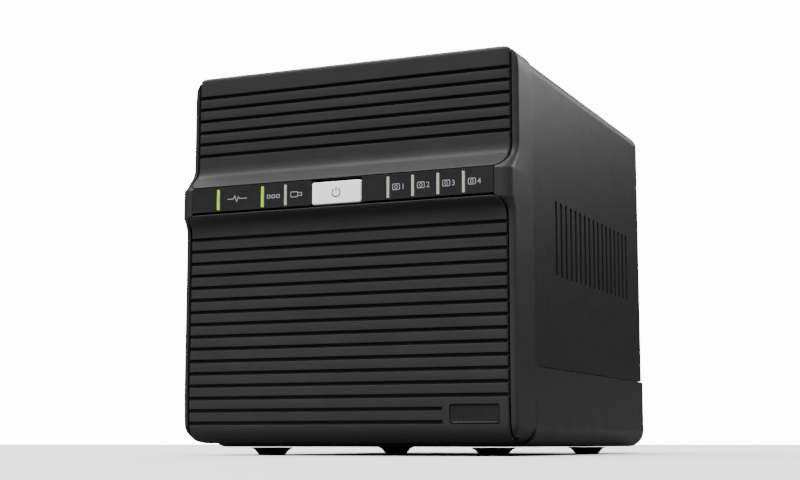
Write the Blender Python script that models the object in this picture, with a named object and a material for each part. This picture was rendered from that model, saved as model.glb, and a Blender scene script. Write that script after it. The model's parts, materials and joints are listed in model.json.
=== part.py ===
"""A desktop network storage box with four drive bays, as an assembly of separate pieces.

Metres, +Z up. The front looks along -Y, X runs to the viewer's right, and the feet stand on Z = 0.
"""

import math

import bmesh
import bpy
from mathutils import Matrix

# Driving dimensions of the whole object
WIDTH = 0.168
HEIGHT = 0.184
DEPTH = 0.230
FOOT_HEIGHT = 0.004
GAP = 0.0003

HALF = WIDTH / 2
FRONT = -DEPTH / 2
BACK = DEPTH / 2

# Front: heights and depths of its profile, from the top down
UPPER_FACE = FRONT + 0.0119
LOWER_FACE = FRONT + 0.0061
FRAME_LOW = 0.0055
FRAME_BACK = -0.0815
TOP_EDGE_RADIUS = 0.0025
BOTTOM_EDGE_RADIUS = 0.009
TOP_CORNER = 0.008
BOTTOM_CORNER = 0.009
FLARE_TOP = 0.1392
FLARE_FOOT = 0.1051
FLARE_RADIUS_UPPER = 0.008
FLARE_RADIUS_LOWER = 0.006
FLARE_ANGLE = math.radians(52)
EASE_TOP = 0.036
EASE = 1.5
EDGE_RADIUS = 0.0025
BAND_EDGE_RADIUS = 0.006
RIM_STEP = 0.0006
PANEL_HALF = 0.0803
PANEL_GAP = 0.001
PANEL_WALL = 0.0028
PANEL_CORNER = 0.005
BAND_MIDDLE = 0.1203
UPPER_RIM = 0.0036
LOWER_RIM = 0.0136
RIM_CORNER = 0.003

# The band across the front
STRIP_LOW = 0.1147
STRIP_HIGH = 0.1264
STRIP_END = 0.0765
STRIP_FACE = FRONT + 0.0004
STRIP_BACK = -0.1070
SEAM_ABOVE = 0.0006
SEAM_BELOW = 0.0012
BRIDGE = (-0.1065, -0.1040)
BRIDGE_LOW = 0.1095
BRIDGE_HIGH = 0.1300
BUTTON_HOLE = 0.0026
BUTTON_HALF = 0.0124
BUTTON_LOW = 0.1146
BUTTON_HIGH = 0.1250
LIGHT_WIDTH = 0.0013
LIGHT_HEIGHT = 0.0098
LIGHTS = {
    "status_light": -0.0624,
    "lan_light": -0.0386,
    "usb_light": -0.0264,
    "disk_light_1": 0.0259,
    "disk_light_2": 0.0380,
    "disk_light_3": 0.0502,
    "disk_light_4": 0.0624,
}

# Ribbed panels
GROOVE_HEIGHT = 0.0017
GROOVE_DEPTH = 0.0019
LOWER_GROOVES = [0.0149 + 0.00584 * k for k in range(16)]
UPPER_GROOVES = [0.1446 + 0.00580 * k for k in range(6)]
BADGE = (0.0528, 0.0762, 0.0140, 0.0228)
BADGE_LAND = 0.0495
BADGE_RECESS = 0.0014

# Shell
SHELL_FRONT = FRAME_BACK + GAP
SHELL_BACK = BACK - 0.0018
COVER_STEP = 0.0008
COVER_WALL = 0.0015
TUB_WALL = 0.0020
TUB_FLOOR = 0.0025
TUB_TOP = 0.0400
TUB_EAR = 0.0080
SEAM = 0.0004
VENT_SLOTS = 17
VENT_PITCH = 0.0081
VENT_START = -0.0460
VENT_WIDTH = 0.0030
VENT_LOW = 0.0840
VENT_HIGH = 0.1210
FLOOR_SLOTS = 9
FLOOR_SLOT_PITCH = 0.010
FLOOR_SLOT_Y = (-0.030, 0.045)
FOOT_BOTTOM = 0.00675
FOOT_TOP = 0.010
FOOT_X = 0.058
FOOT_Y = (-0.066, 0.087)

# Drive bays, reached from behind
BAYS = 4
BAY_LEFT = -0.0750
BAY_RIGHT = 0.0310
BAY_LOW = 0.0170
BAY_PITCH = 0.0360
TRAY_FRONT = -0.0835
TRAY_BACK = 0.0680
TRAY_HEIGHT = 0.0290
TRAY_WALL = 0.0015
TRAY_WINDOWS = (-0.0660, -0.0345, -0.0030)
TRAY_WINDOW = (0.0250, 0.0060, 0.0230)
DRIVE = (0.1016, 0.1470, 0.0261)
DRIVE_RELIEF = (0.0120, 0.0050)
CONNECTOR_X = (-0.050, -0.006)
CAGE_FRONT = -0.0880
CAGE_BACK = 0.0760
CAGE_SHEET = 0.0010
CAGE_RUNNER = 0.0042
CAGE_SIDE_GAP = 0.0015
CAGE_TOP = 0.1655
CAGE_LIFT = 0.0025

# Fan door
DOOR_LEFT = -0.0770
DOOR_RIGHT = 0.0330
DOOR_TOP = 0.1760
DOOR_FACE = 0.1116
DOOR_WALL = 0.0030
HINGE_Y = 0.1106
HINGE_Z = 0.0130
KNUCKLE_RADIUS = 0.0024
PIN_RADIUS = 0.0010
FAN_SIZE = 0.080
FAN_DEPTH = 0.025
FAN_X = -0.0220
FAN_Z = {"lower": 0.0527, "upper": 0.1331}
FAN_BACK = DOOR_FACE - DOOR_WALL - 0.0007
FAN_BOLT = 0.03575
GRILLE_RADIUS = 0.0370
GRILLE_ROWS = 7
GRILLE_PITCH = 0.0050
GRILLE_SLOT = 0.0032
DUCT_RADIUS = 0.0383
BLADE_RADIUS = 0.0367
BLADES = 7
HUB_RADIUS = 0.0170
SCREW_Z = 0.1705
SCREW_HOLE = 0.0022
SCREW_SHANK = 0.00175
SCREW_HEAD = 0.0048
SCREW_X = {"left": -0.0700, "right": 0.0260}

# Rear frame and the sockets behind it
REAR_FACE = 0.1126
REAR_WALL = 0.0040
BOARD_X = 0.0410
BOARD_WALL = 0.0016
BOARD_LOW = 0.0140
BOARD_HIGH = 0.1600
CHIP = (-0.0020, 0.0880)
SINK_HEIGHT = 0.0150
SINK_VALLEYS = 9
SINK_PITCH = 0.0042
SOCKET_FACE = REAR_FACE - 0.0008
LAN = (0.0435, 0.0600, 0.0560, 0.0700)
USB = {"upper": (0.0445, 0.0510, 0.1040, 0.1180), "lower": (0.0445, 0.0510, 0.0820, 0.0960)}
POWER = (0.0435, 0.0545, 0.0240, 0.0350)
RESET = (0.0480, 0.1290)
LOCK_SLOT = (0.0680, 0.0710, 0.0150, 0.0220)

# How far cutters reach past the object, and how far past the face they start from
REACH = 0.14
OVER = 0.01

PARTS = "network_storage"
CUTTERS = "cutters"
X, Y, Z = 0, 1, 2


def start_scene():
    """Empties the scene and makes the two collections."""
    for thing in list(bpy.data.objects):
        bpy.data.objects.remove(thing, do_unlink=True)
    for name in (PARTS, CUTTERS):
        group = bpy.data.collections.new(name)
        bpy.context.scene.collection.children.link(group)
    bpy.data.collections[CUTTERS].hide_render = True


def make_material(name, colour, roughness, metallic=0.0):
    surface = bpy.data.materials.new(name)
    surface.use_nodes = True
    shader = surface.node_tree.nodes["Principled BSDF"]
    shader.inputs["Base Color"].default_value = (*colour, 1.0)
    shader.inputs["Roughness"].default_value = roughness
    shader.inputs["Metallic"].default_value = metallic
    surface.diffuse_color = (*colour, 1.0)
    return surface


# ---------------------------------------------------------------- shapes


def add_box(bm, low, high):
    """A box between two opposite corners."""
    made = bmesh.ops.create_cube(bm, size=1.0)
    size = [b - a for a, b in zip(low, high)]
    centre = [(a + b) / 2 for a, b in zip(low, high)]
    place = Matrix.Translation(centre) @ Matrix.Diagonal((*size, 1.0))
    bmesh.ops.transform(bm, matrix=place, verts=made["verts"])
    return bm


def add_rod(bm, start, length, radius, axis=Y, segments=24, end_radius=None):
    """A round bar or cone that starts at a point and runs along +X, +Y or +Z."""
    turn = {
        X: Matrix.Rotation(math.pi / 2, 4, "Y"),
        Y: Matrix.Rotation(-math.pi / 2, 4, "X"),
        Z: Matrix.Identity(4),
    }[axis]
    lift = Matrix.Translation((0, 0, length / 2))
    bmesh.ops.create_cone(
        bm,
        cap_ends=True,
        segments=segments,
        radius1=radius,
        radius2=radius if end_radius is None else end_radius,
        depth=length,
        matrix=Matrix.Translation(start) @ turn @ lift,
    )
    return bm


def add_plate(bm, outline, axis, low, high):
    """A flat outline, given in the two other axes, extruded along an axis."""
    corners = []
    for point in outline:
        place = list(point)
        place.insert(axis, low)
        corners.append(bm.verts.new(place))
    face = bm.faces.new(corners)
    grown = bmesh.ops.extrude_face_region(bm, geom=[face])
    moved = [g for g in grown["geom"] if isinstance(g, bmesh.types.BMVert)]
    shift = [0.0, 0.0, 0.0]
    shift[axis] = high - low
    bmesh.ops.translate(bm, vec=shift, verts=moved)
    return bm


def arc(centre, radius, start, end, steps):
    """Points on an arc, its ends included, with angles in degrees."""
    points = []
    for k in range(steps + 1):
        angle = math.radians(start + (end - start) * k / steps)
        points.append((centre[0] + radius * math.cos(angle), centre[1] + radius * math.sin(angle)))
    return points


def rounded(left, right, low, high, bottom=0.0, top=0.0, steps=4):
    """A rectangle's outline, anticlockwise, with a radius for its bottom and its top corners."""
    points = []
    for x, side, z, radius, start in (
        (right, -1, low, bottom, 270),
        (right, -1, high, top, 0),
        (left, 1, high, top, 90),
        (left, 1, low, bottom, 180),
    ):
        if radius == 0.0:
            points.append((x, z))
            continue
        rise = 1 if z == low else -1
        points += arc((x + side * radius, z + rise * radius), radius, start, start + 90, steps)
    return points


def flare(travel, radius):
    """How far a concave flare has swung out, after this much height."""
    bend = radius * math.sin(FLARE_ANGLE)
    if travel <= bend:
        return radius - math.sqrt(radius**2 - travel**2)
    return radius * (1 - math.cos(FLARE_ANGLE)) + (travel - bend) * math.tan(FLARE_ANGLE)


def front_depth(z):
    """Y of the front surface at a height."""
    if z > HEIGHT - TOP_EDGE_RADIUS:
        rise = z - (HEIGHT - TOP_EDGE_RADIUS)
        return UPPER_FACE + TOP_EDGE_RADIUS - math.sqrt(max(TOP_EDGE_RADIUS**2 - rise**2, 0.0))
    if z > BAND_MIDDLE:
        travel = max(FLARE_TOP - z, 0.0)
        return max(UPPER_FACE - flare(travel, FLARE_RADIUS_UPPER), FRONT)
    depth = max(LOWER_FACE - flare(max(z - FLARE_FOOT, 0.0), FLARE_RADIUS_LOWER), FRONT)
    depth += EASE * max(EASE_TOP - z, 0.0) ** 2
    drop = FRAME_LOW + BOTTOM_EDGE_RADIUS - z
    if drop > 0:
        depth += BOTTOM_EDGE_RADIUS - math.sqrt(max(BOTTOM_EDGE_RADIUS**2 - drop**2, 0.0))
    return depth


def front_half_width(z):
    """Half the width of the front's outline at a height."""
    rise = z - (HEIGHT - TOP_CORNER)
    if rise > 0:
        return HALF - TOP_CORNER + math.sqrt(max(TOP_CORNER**2 - rise**2, 0.0))
    drop = FRAME_LOW + BOTTOM_CORNER - z
    if drop > 0:
        return HALF - BOTTOM_CORNER + math.sqrt(max(BOTTOM_CORNER**2 - drop**2, 0.0))
    return HALF


def front_edge_radius(z):
    """Radius between the front surface and the side, which grows where the band stands out."""
    face = UPPER_FACE if z > BAND_MIDDLE else LOWER_FACE
    share = max(face - front_depth(z), 0.0) / (face - FRONT)
    return EDGE_RADIUS + (BAND_EDGE_RADIUS - EDGE_RADIUS) * min(share, 1.0)


def front_heights():
    """Heights at which the front's sections are taken, close together where it curves."""
    top = HEIGHT - TOP_CORNER
    low = FRAME_LOW + BOTTOM_CORNER
    heights = [top + TOP_CORNER * math.sin(math.radians(a)) for a in (0, 18, 36, 54, 72, 90)]
    heights += [HEIGHT - 0.0011]
    heights += [low - BOTTOM_CORNER * math.sin(math.radians(a)) for a in (0, 18, 36, 54, 72, 90)]
    heights += [EASE_TOP - 0.007 * k for k in range(3)]
    for k in range(5):
        heights.append(FLARE_TOP - FLARE_RADIUS_UPPER * math.sin(FLARE_ANGLE) * k / 4)
        heights.append(FLARE_FOOT + FLARE_RADIUS_LOWER * math.sin(FLARE_ANGLE) * k / 4)
    upper_rise = FLARE_RADIUS_UPPER * (1 - math.cos(FLARE_ANGLE))
    lower_rise = FLARE_RADIUS_LOWER * (1 - math.cos(FLARE_ANGLE))
    slope = math.tan(FLARE_ANGLE)
    upper_bend = FLARE_TOP - FLARE_RADIUS_UPPER * math.sin(FLARE_ANGLE)
    lower_bend = FLARE_FOOT + FLARE_RADIUS_LOWER * math.sin(FLARE_ANGLE)
    heights.append(upper_bend - (UPPER_FACE - FRONT - upper_rise) / slope)
    heights.append(lower_bend + (LOWER_FACE - FRONT - lower_rise) / slope)
    return sorted(set(round(z, 6) for z in heights))


def add_front_body(bm, back, setback=0.0):
    """The front's solid form, lofted through level sections that are rounded into the sides."""
    rings = []
    for z in front_heights():
        half = front_half_width(z)
        radius = front_edge_radius(z)
        face = front_depth(z) + setback
        left = arc((radius - half, face + radius), radius, 180, 270, 4)
        right = arc((half - radius, face + radius), radius, 270, 360, 4)
        section = [(-half, back)] + left + right + [(half, back)]
        rings.append([bm.verts.new((x, y, z)) for x, y in section])
    count = len(rings[0])
    for lower, upper in zip(rings, rings[1:]):
        for k in range(count):
            after = (k + 1) % count
            bm.faces.new((lower[k], lower[after], upper[after], upper[k]))
    bm.faces.new(rings[0])
    bm.faces.new(rings[-1])
    return bm


# ---------------------------------------------------------------- objects


def to_object(name, bm, group, origin=(0.0, 0.0, 0.0)):
    """Ends a bmesh as an object in a collection, with its origin at a point."""
    bmesh.ops.recalc_face_normals(bm, faces=bm.faces)
    bmesh.ops.translate(bm, vec=[-c for c in origin], verts=bm.verts)
    mesh = bpy.data.meshes.new(name)
    bm.to_mesh(mesh)
    bm.free()
    made = bpy.data.objects.new(name, mesh)
    made.location = origin
    bpy.data.collections[group].objects.link(made)
    return made


def make_part(name, bm, surface, origin=(0.0, 0.0, 0.0), smooth=0.0):
    """A sub-part with its own material. Round ones are shaded smooth up to an angle in degrees."""
    part = to_object(name, bm, PARTS, origin)
    part.data.materials.append(surface)
    if smooth:
        part.data.shade_smooth()
        part.data.set_sharp_from_angle(angle=math.radians(smooth))
    return part


def boolean(part, bm, operation):
    """Cuts a shape from a part, joins one to it, or keeps what they share."""
    tool = to_object(f"{part.name}_tool_{len(part.modifiers)}", bm, CUTTERS)
    tool.hide_render = True
    tool.display_type = "WIRE"
    step = part.modifiers.new(operation.lower(), "BOOLEAN")
    step.operation = operation
    step.object = tool
    step.solver = "EXACT"


def cut(part, bm):
    boolean(part, bm, "DIFFERENCE")


def join(part, bm):
    boolean(part, bm, "UNION")


def keep(part, bm):
    boolean(part, bm, "INTERSECT")


def new():
    return bmesh.new()


# ---------------------------------------------------------------- front


def add_light_slot(bm, x, front, back):
    """A hole for one light guide, with a gap all round it."""
    half = (LIGHT_WIDTH / 2 + GAP, LIGHT_HEIGHT / 2 + GAP)
    low = (x - half[0], front, BAND_MIDDLE - half[1])
    return add_box(bm, low, (x + half[0], back, BAND_MIDDLE + half[1]))


def front_frame(surface):
    """The moulded ring that holds the two ribbed panels and the band."""
    part = make_part("front_frame", add_front_body(new(), FRAME_BACK, RIM_STEP), surface)
    opening = PANEL_HALF + PANEL_GAP
    corner = PANEL_CORNER + PANEL_GAP
    inner_top = HEIGHT - PANEL_WALL
    inner_low = FRAME_LOW + PANEL_WALL
    seam_top = STRIP_HIGH + SEAM_ABOVE - GAP
    seam_low = STRIP_LOW - SEAM_BELOW + GAP
    upper = rounded(-opening, opening, seam_top, inner_top, bottom=corner, top=RIM_CORNER)
    lower = rounded(-opening, opening, inner_low, seam_low, bottom=RIM_CORNER, top=corner)
    cut(part, add_plate(new(), upper, Y, -REACH, BRIDGE[0]))
    cut(part, add_plate(new(), lower, Y, -REACH, BRIDGE[0]))
    end = STRIP_END + GAP
    low, high = BRIDGE_LOW + 0.0025, BRIDGE_HIGH
    cut(part, add_box(new(), (-end, -REACH, low), (end, BRIDGE[0], high)))
    start = BRIDGE[0] - 0.001
    cut(part, add_box(new(), (-opening, start, BRIDGE_HIGH), (opening, 0, inner_top)))
    cut(part, add_box(new(), (-opening, start, inner_low), (opening, 0, BRIDGE_LOW)))
    behind = add_box(
        new(), (-opening, BRIDGE[1], BRIDGE_LOW - 0.001), (opening, 0, BRIDGE_HIGH + 0.001)
    )
    cut(part, behind)
    upper_back = UPPER_FACE + UPPER_RIM + GAP
    lower_back = LOWER_FACE + LOWER_RIM + GAP
    cut(part, add_box(new(), (-opening, -REACH, HEIGHT - REACH / 10), (opening, upper_back, REACH * 2)))
    cut(part, add_box(new(), (-opening, -REACH, -OVER), (opening, lower_back, REACH / 7)))
    holes = add_rod(new(), (0, start, BAND_MIDDLE), 0.005, BUTTON_HOLE, segments=16)
    for x in LIGHTS.values():
        add_light_slot(holes, x, start, BRIDGE[1] + 0.001)
    cut(part, holes)
    return part


def ribbed_panel(name, outline, back, inner_limits, grooves, surface):
    """A shell that follows the front's form inside an outline, with level grooves from side to side."""
    part = make_part(name, add_front_body(new(), FRAME_BACK), surface)
    keep(part, add_plate(new(), outline, Y, -REACH, back))
    hollow = add_front_body(new(), 0.0, PANEL_WALL)
    for height, up in zip(inner_limits, (-1, 1)):
        bmesh.ops.bisect_plane(
            hollow,
            geom=hollow.verts[:] + hollow.edges[:] + hollow.faces[:],
            plane_co=(0, 0, height),
            plane_no=(0, 0, up),
            clear_outer=True,
        )
        bmesh.ops.holes_fill(hollow, edges=[e for e in hollow.edges if e.is_boundary])
    cut(part, hollow)
    channels = new()
    for z, right in grooves:
        floor = front_depth(z) + GROOVE_DEPTH
        low = z - GROOVE_HEIGHT / 2
        add_box(channels, (-REACH, -REACH, low), (right, floor, low + GROOVE_HEIGHT))
    cut(part, channels)
    return part


def upper_panel(surface):
    low = STRIP_HIGH + SEAM_ABOVE
    outline = rounded(-PANEL_HALF, PANEL_HALF, low, HEIGHT + OVER, bottom=PANEL_CORNER)
    grooves = [(z, REACH) for z in UPPER_GROOVES]
    limits = (HEIGHT / 4, HEIGHT - PANEL_WALL)
    return ribbed_panel("upper_panel", outline, UPPER_FACE + UPPER_RIM, limits, grooves, surface)


def lower_panel(surface):
    high = STRIP_LOW - SEAM_BELOW
    outline = rounded(-PANEL_HALF, PANEL_HALF, -OVER, high, top=PANEL_CORNER)
    grooves = [(z, BADGE_LAND if z < BADGE[3] else REACH) for z in LOWER_GROOVES]
    limits = (FRAME_LOW + PANEL_WALL, HEIGHT * 0.8)
    part = ribbed_panel("lower_panel", outline, LOWER_FACE + LOWER_RIM, limits, grooves, surface)
    recess = rounded(*BADGE, bottom=0.001, top=0.001, steps=2)
    cut(part, add_plate(new(), recess, Y, -REACH, badge_face() + BADGE_RECESS))
    return part


def badge_face():
    """Y of the panel's surface around the badge."""
    return front_depth((BADGE[2] + BADGE[3]) / 2)


def badge_plate(surface):
    left, right, low, high = BADGE
    outline = rounded(left + GAP, right - GAP, low + GAP, high - GAP, 0.0008, 0.0008, 2)
    back = badge_face() + BADGE_RECESS - GAP
    return make_part("badge_plate", add_plate(new(), outline, Y, back - 0.0007, back), surface)


def indicator_strip(name, left, right, surface):
    """A dark lens, hollow at its back, with a slot for each light guide."""
    block = add_box(new(), (left, STRIP_FACE, STRIP_LOW), (right, STRIP_BACK, STRIP_HIGH))
    part = make_part(name, block, surface)
    wall = 0.0012
    pocket = add_box(
        new(),
        (left + wall, STRIP_FACE + 0.002, STRIP_LOW + wall * 0.5),
        (right - wall, STRIP_BACK + OVER, STRIP_HIGH - wall * 0.5),
    )
    cut(part, pocket)
    slots = new()
    for x in LIGHTS.values():
        if left < x < right:
            add_light_slot(slots, x, -REACH, STRIP_BACK)
    cut(part, slots)
    return part


def light_guides(surfaces):
    """Clear bars that carry each lamp's light from the board to the front."""
    for name, x in LIGHTS.items():
        low = (x - LIGHT_WIDTH / 2, STRIP_FACE - 0.0002, BAND_MIDDLE - LIGHT_HEIGHT / 2)
        high = (x + LIGHT_WIDTH / 2, -0.1020, BAND_MIDDLE + LIGHT_HEIGHT / 2)
        lit = name in ("status_light", "lan_light")
        make_part(name, add_box(new(), low, high), surfaces["green" if lit else "clear"])


def power_button(surface):
    """A cap with a stem behind it, which presses the switch."""
    origin = (0.0, -0.1110, BAND_MIDDLE)
    outline = rounded(-BUTTON_HALF, BUTTON_HALF, BUTTON_LOW, BUTTON_HIGH, 0.0006, 0.0006, 2)
    part = make_part("power_button", add_plate(new(), outline, Y, FRONT, -0.1112), surface, origin)
    join(part, add_rod(new(), (0, -0.1125, BAND_MIDDLE), 0.0063, 0.0020, segments=16))
    return part


def front_electronics(surfaces):
    """The board with the lamps, its switch, and the flat cable from it to the main board."""
    front = -0.1013
    back = front + BOARD_WALL
    board = add_box(new(), (-0.070, front, 0.1120), (0.070, back, 0.1295))
    make_part("front_board", board, surfaces["board"])
    half = 0.003
    switch = add_box(
        new(), (-half, -0.1040, BAND_MIDDLE - half), (half, front - GAP, BAND_MIDDLE + half)
    )
    part = make_part("power_switch", switch, surfaces["black"])
    join(part, add_rod(new(), (0, -0.1048, BAND_MIDDLE), 0.0014, 0.0014, segments=12))
    thick = 0.0006
    start = back + GAP
    turn = -0.0700
    outer = 0.0566
    end = BOARD_X + BOARD_WALL + GAP
    ribbon = [(outer - thick, start), (outer, start), (outer, turn), (end, turn)]
    ribbon += [(end, turn - thick), (outer - thick, turn - thick)]
    make_part("front_cable", add_plate(new(), ribbon, Z, 0.1160, 0.1280), surfaces["cable"])


# ---------------------------------------------------------------- shell


def ear(offset=0.0):
    """Outline of what stands above the tub's side: the fillet that rises to the front frame."""
    radius = TUB_EAR - offset
    corner = (SHELL_FRONT + TUB_EAR, TUB_TOP + TUB_EAR)
    return arc(corner, radius, 180, 270, 6)


def base_tub(surface):
    """Floor and low sides, with a fillet rising to the front frame at each side."""
    low = FOOT_HEIGHT
    inner = HALF - TUB_WALL
    radius = 0.009
    inside = radius - TUB_WALL
    outline = arc((HALF - radius, low + radius), radius, 270, 360, 5)
    outline += [(HALF, TUB_TOP + TUB_EAR), (inner, TUB_TOP + TUB_EAR)]
    outline += arc((inner - inside, low + TUB_FLOOR + inside), inside, 360, 270, 5)
    outline += [(-x, z) for x, z in reversed(outline)]
    part = make_part("base_tub", add_plate(new(), outline, Y, SHELL_FRONT, SHELL_BACK), surface)
    above = ear()
    above += [(REACH, TUB_TOP), (REACH, TUB_TOP * 2), (SHELL_FRONT, TUB_TOP * 2)]
    cut(part, add_plate(new(), above, X, -REACH, REACH))
    vents = new()
    for k in range(FLOOR_SLOTS):
        x = FLOOR_SLOT_PITCH * (k - (FLOOR_SLOTS - 1) / 2)
        half = VENT_WIDTH / 2
        add_box(vents, (x - half, FLOOR_SLOT_Y[0], 0.0), (x + half, FLOOR_SLOT_Y[1], OVER))
    cut(part, vents)
    return part


def top_cover(surface):
    """A bent sheet: top and both sides, a little inside the frame and the tub."""
    half = HALF - COVER_STEP
    top = HEIGHT - COVER_STEP
    radius = TOP_CORNER - COVER_STEP
    low = TUB_TOP + SEAM
    outline = [(half, low)] + arc((half - radius, top - radius), radius, 0, 90, 6)
    outline += [(-x, z) for x, z in reversed(outline)]
    inner = [(half - COVER_WALL, low)]
    inner += arc((half - radius, top - radius), radius - COVER_WALL, 0, 90, 6)
    inner += [(-x, z) for x, z in reversed(inner)]
    outline += list(reversed(inner))
    front = SHELL_FRONT + SEAM
    part = make_part("top_cover", add_plate(new(), outline, Y, front, SHELL_BACK), surface, smooth=30)
    corner = ear(SEAM) + [(SHELL_FRONT + TUB_EAR, TUB_TOP - OVER), (SHELL_FRONT - OVER, TUB_TOP - OVER)]
    corner += [(SHELL_FRONT - OVER, TUB_TOP + TUB_EAR)]
    cut(part, add_plate(new(), corner, X, -REACH, REACH))
    slots = new()
    for k in range(VENT_SLOTS):
        y = VENT_START + VENT_PITCH * k
        end = VENT_WIDTH * 0.4967
        slot = rounded(y, y + VENT_WIDTH, VENT_LOW, VENT_HIGH, end, end, 3)
        for side in (-HALF, HALF):
            add_plate(slots, slot, X, side - OVER, side + OVER)
    cut(part, slots)
    return part


def feet(surface):
    """Four tapered rubber feet under the tub."""
    for side, x in (("left", -FOOT_X), ("right", FOOT_X)):
        for end, y in zip(("front", "rear"), FOOT_Y):
            foot = add_rod(new(), (x, y, 0), FOOT_HEIGHT - GAP, FOOT_BOTTOM, Z, 28, FOOT_TOP)
            make_part(f"foot_{end}_{side}", foot, surface, (x, y, 0), smooth=40)


# ---------------------------------------------------------------- drives


def bay_floor(bay):
    return BAY_LOW + BAY_PITCH * bay


def cage_side(name, wall, side, surface):
    """A sheet with a runner under each tray. side is +1 where the runners point along +X."""
    low = FOOT_HEIGHT + TUB_FLOOR + CAGE_LIFT
    sheet = add_box(new(), (wall, CAGE_FRONT, low), (wall + CAGE_SHEET, CAGE_BACK, CAGE_TOP))
    part = make_part(name, sheet, surface)
    for bay in range(BAYS):
        top = bay_floor(bay) - GAP
        inner = wall + CAGE_SHEET + CAGE_RUNNER if side > 0 else wall - CAGE_RUNNER
        ends = sorted((wall + CAGE_SHEET / 2, inner))
        shelf = add_box(new(), (ends[0], CAGE_FRONT, top - CAGE_SHEET), (ends[1], CAGE_BACK, top))
        join(part, shelf)
    return part


def drive_cage(surface):
    left = BAY_LEFT - CAGE_SIDE_GAP - CAGE_SHEET
    right = BAY_RIGHT + CAGE_SIDE_GAP
    cage_side("cage_left_side", left, 1, surface)
    cage_side("cage_right_side", right, -1, surface)
    low = (left, CAGE_FRONT, CAGE_TOP + GAP)
    high = (right + CAGE_SHEET, CAGE_BACK, CAGE_TOP + GAP + CAGE_SHEET)
    make_part("cage_top", add_box(new(), low, high), surface)


def backplane(surfaces):
    """The board behind the front that the drives plug into, with a connector for each."""
    back = CAGE_FRONT - 0.0008
    board = add_box(
        new(), (BAY_LEFT, back - BOARD_WALL, BOARD_LOW), (BAY_RIGHT, back, BOARD_HIGH)
    )
    make_part("backplane", board, surfaces["board"])
    for bay in range(BAYS):
        low = bay_floor(bay) + TRAY_WALL + 0.0020
        start = (CONNECTOR_X[0], back + GAP, low)
        block = add_box(new(), start, (CONNECTOR_X[1], TRAY_FRONT - 0.0004, low + 0.0060))
        make_part(f"drive_connector_{bay + 1}", block, surfaces["black"])


def drive_tray(bay, surface):
    """An open carrier with a grip across its back."""
    floor = bay_floor(bay)
    wall = TRAY_WALL
    origin = (0.0, TRAY_BACK, floor)
    top = floor + TRAY_HEIGHT
    block = add_box(new(), (BAY_LEFT, TRAY_FRONT, floor), (BAY_RIGHT, TRAY_BACK, top))
    part = make_part(f"drive_tray_{bay + 1}", block, surface, origin)
    inside = add_box(
        new(),
        (BAY_LEFT + wall, TRAY_FRONT - OVER, floor + wall),
        (BAY_RIGHT - wall, TRAY_BACK - wall * 2, top + OVER),
    )
    cut(part, inside)
    windows = new()
    wide, low, high = TRAY_WINDOW
    for x in TRAY_WINDOWS:
        start = (x, TRAY_BACK - OVER, floor + low)
        add_box(windows, start, (x + wide, TRAY_BACK + OVER, floor + high))
    cut(part, windows)
    return part


def hard_drive(bay, surface):
    """A 3.5 inch drive, with the relief at each end of its lid."""
    wide, long, high = DRIVE
    centre = (BAY_LEFT + BAY_RIGHT) / 2
    low = bay_floor(bay) + TRAY_WALL + GAP
    front = TRAY_FRONT + GAP
    origin = (centre, front, low)
    end = (centre + wide / 2, front + long, low + high)
    block = add_box(new(), (centre - wide / 2, front, low), end)
    part = make_part(f"hard_drive_{bay + 1}", block, surface, origin)
    length, depth = DRIVE_RELIEF
    relief = add_box(
        new(),
        (centre - wide, front - OVER, low + high - depth),
        (centre + wide, front + length, low + high + OVER),
    )
    cut(part, relief)
    return part


# ---------------------------------------------------------------- rear


def rear_frame(surface):
    """The fixed back, with the door's opening, the socket cut-outs and the lock slot."""
    half = HALF - COVER_STEP - COVER_WALL - GAP
    low = FOOT_HEIGHT + TUB_FLOOR + GAP
    high = HEIGHT - COVER_STEP - COVER_WALL - GAP
    front = REAR_FACE - REAR_WALL
    outline = rounded(-half, half, low, high, bottom=0.0068, top=0.0054, steps=4)
    part = make_part("rear_frame", add_plate(new(), outline, Y, front, REAR_FACE), surface)
    opening_low = (DOOR_LEFT - GAP, front - OVER, HINGE_Z - KNUCKLE_RADIUS - GAP * 2)
    opening_high = (DOOR_RIGHT + GAP, REAR_FACE + OVER, DOOR_TOP + GAP)
    cut(part, add_box(new(), opening_low, opening_high))
    tab_front = 0.1035
    tab_back = DOOR_FACE - DOOR_WALL - 0.0004
    tab_low = SCREW_Z - 0.0055
    for x in SCREW_X.values():
        left, right = x - 0.0055, x + 0.0055
        tab_high = high - 0.0010
        join(part, add_box(new(), (left, tab_front, tab_low), (right, tab_back, tab_high)))
        heel = (left, tab_back - 0.0002, DOOR_TOP + 0.0008)
        join(part, add_box(new(), heel, (right, front + 0.002, tab_high)))
    holes = new()
    for x in SCREW_X.values():
        add_rod(holes, (x, tab_front - OVER, SCREW_Z), REAR_FACE - tab_front + OVER, SCREW_HOLE, segments=16)
    edge = 0.0004
    for left, right, bottom, top in (LAN, USB["upper"], USB["lower"], POWER):
        low = (left - edge, front - OVER, bottom - edge)
        add_box(holes, low, (right + edge, REAR_FACE + OVER, top + edge))
    left, right, bottom, top = LOCK_SLOT
    add_box(holes, (left, front - OVER, bottom), (right, REAR_FACE + OVER, top))
    add_rod(holes, (RESET[0], front - OVER, RESET[1]), OVER * 3, 0.0017, segments=16)
    bore = PIN_RADIUS + GAP
    add_rod(holes, (DOOR_LEFT - 0.003, HINGE_Y, HINGE_Z), 0.0060, bore, X, 16)
    add_rod(holes, (DOOR_RIGHT - 0.001, HINGE_Y, HINGE_Z), 0.0065, bore, X, 16)
    cut(part, holes)
    return part


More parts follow.
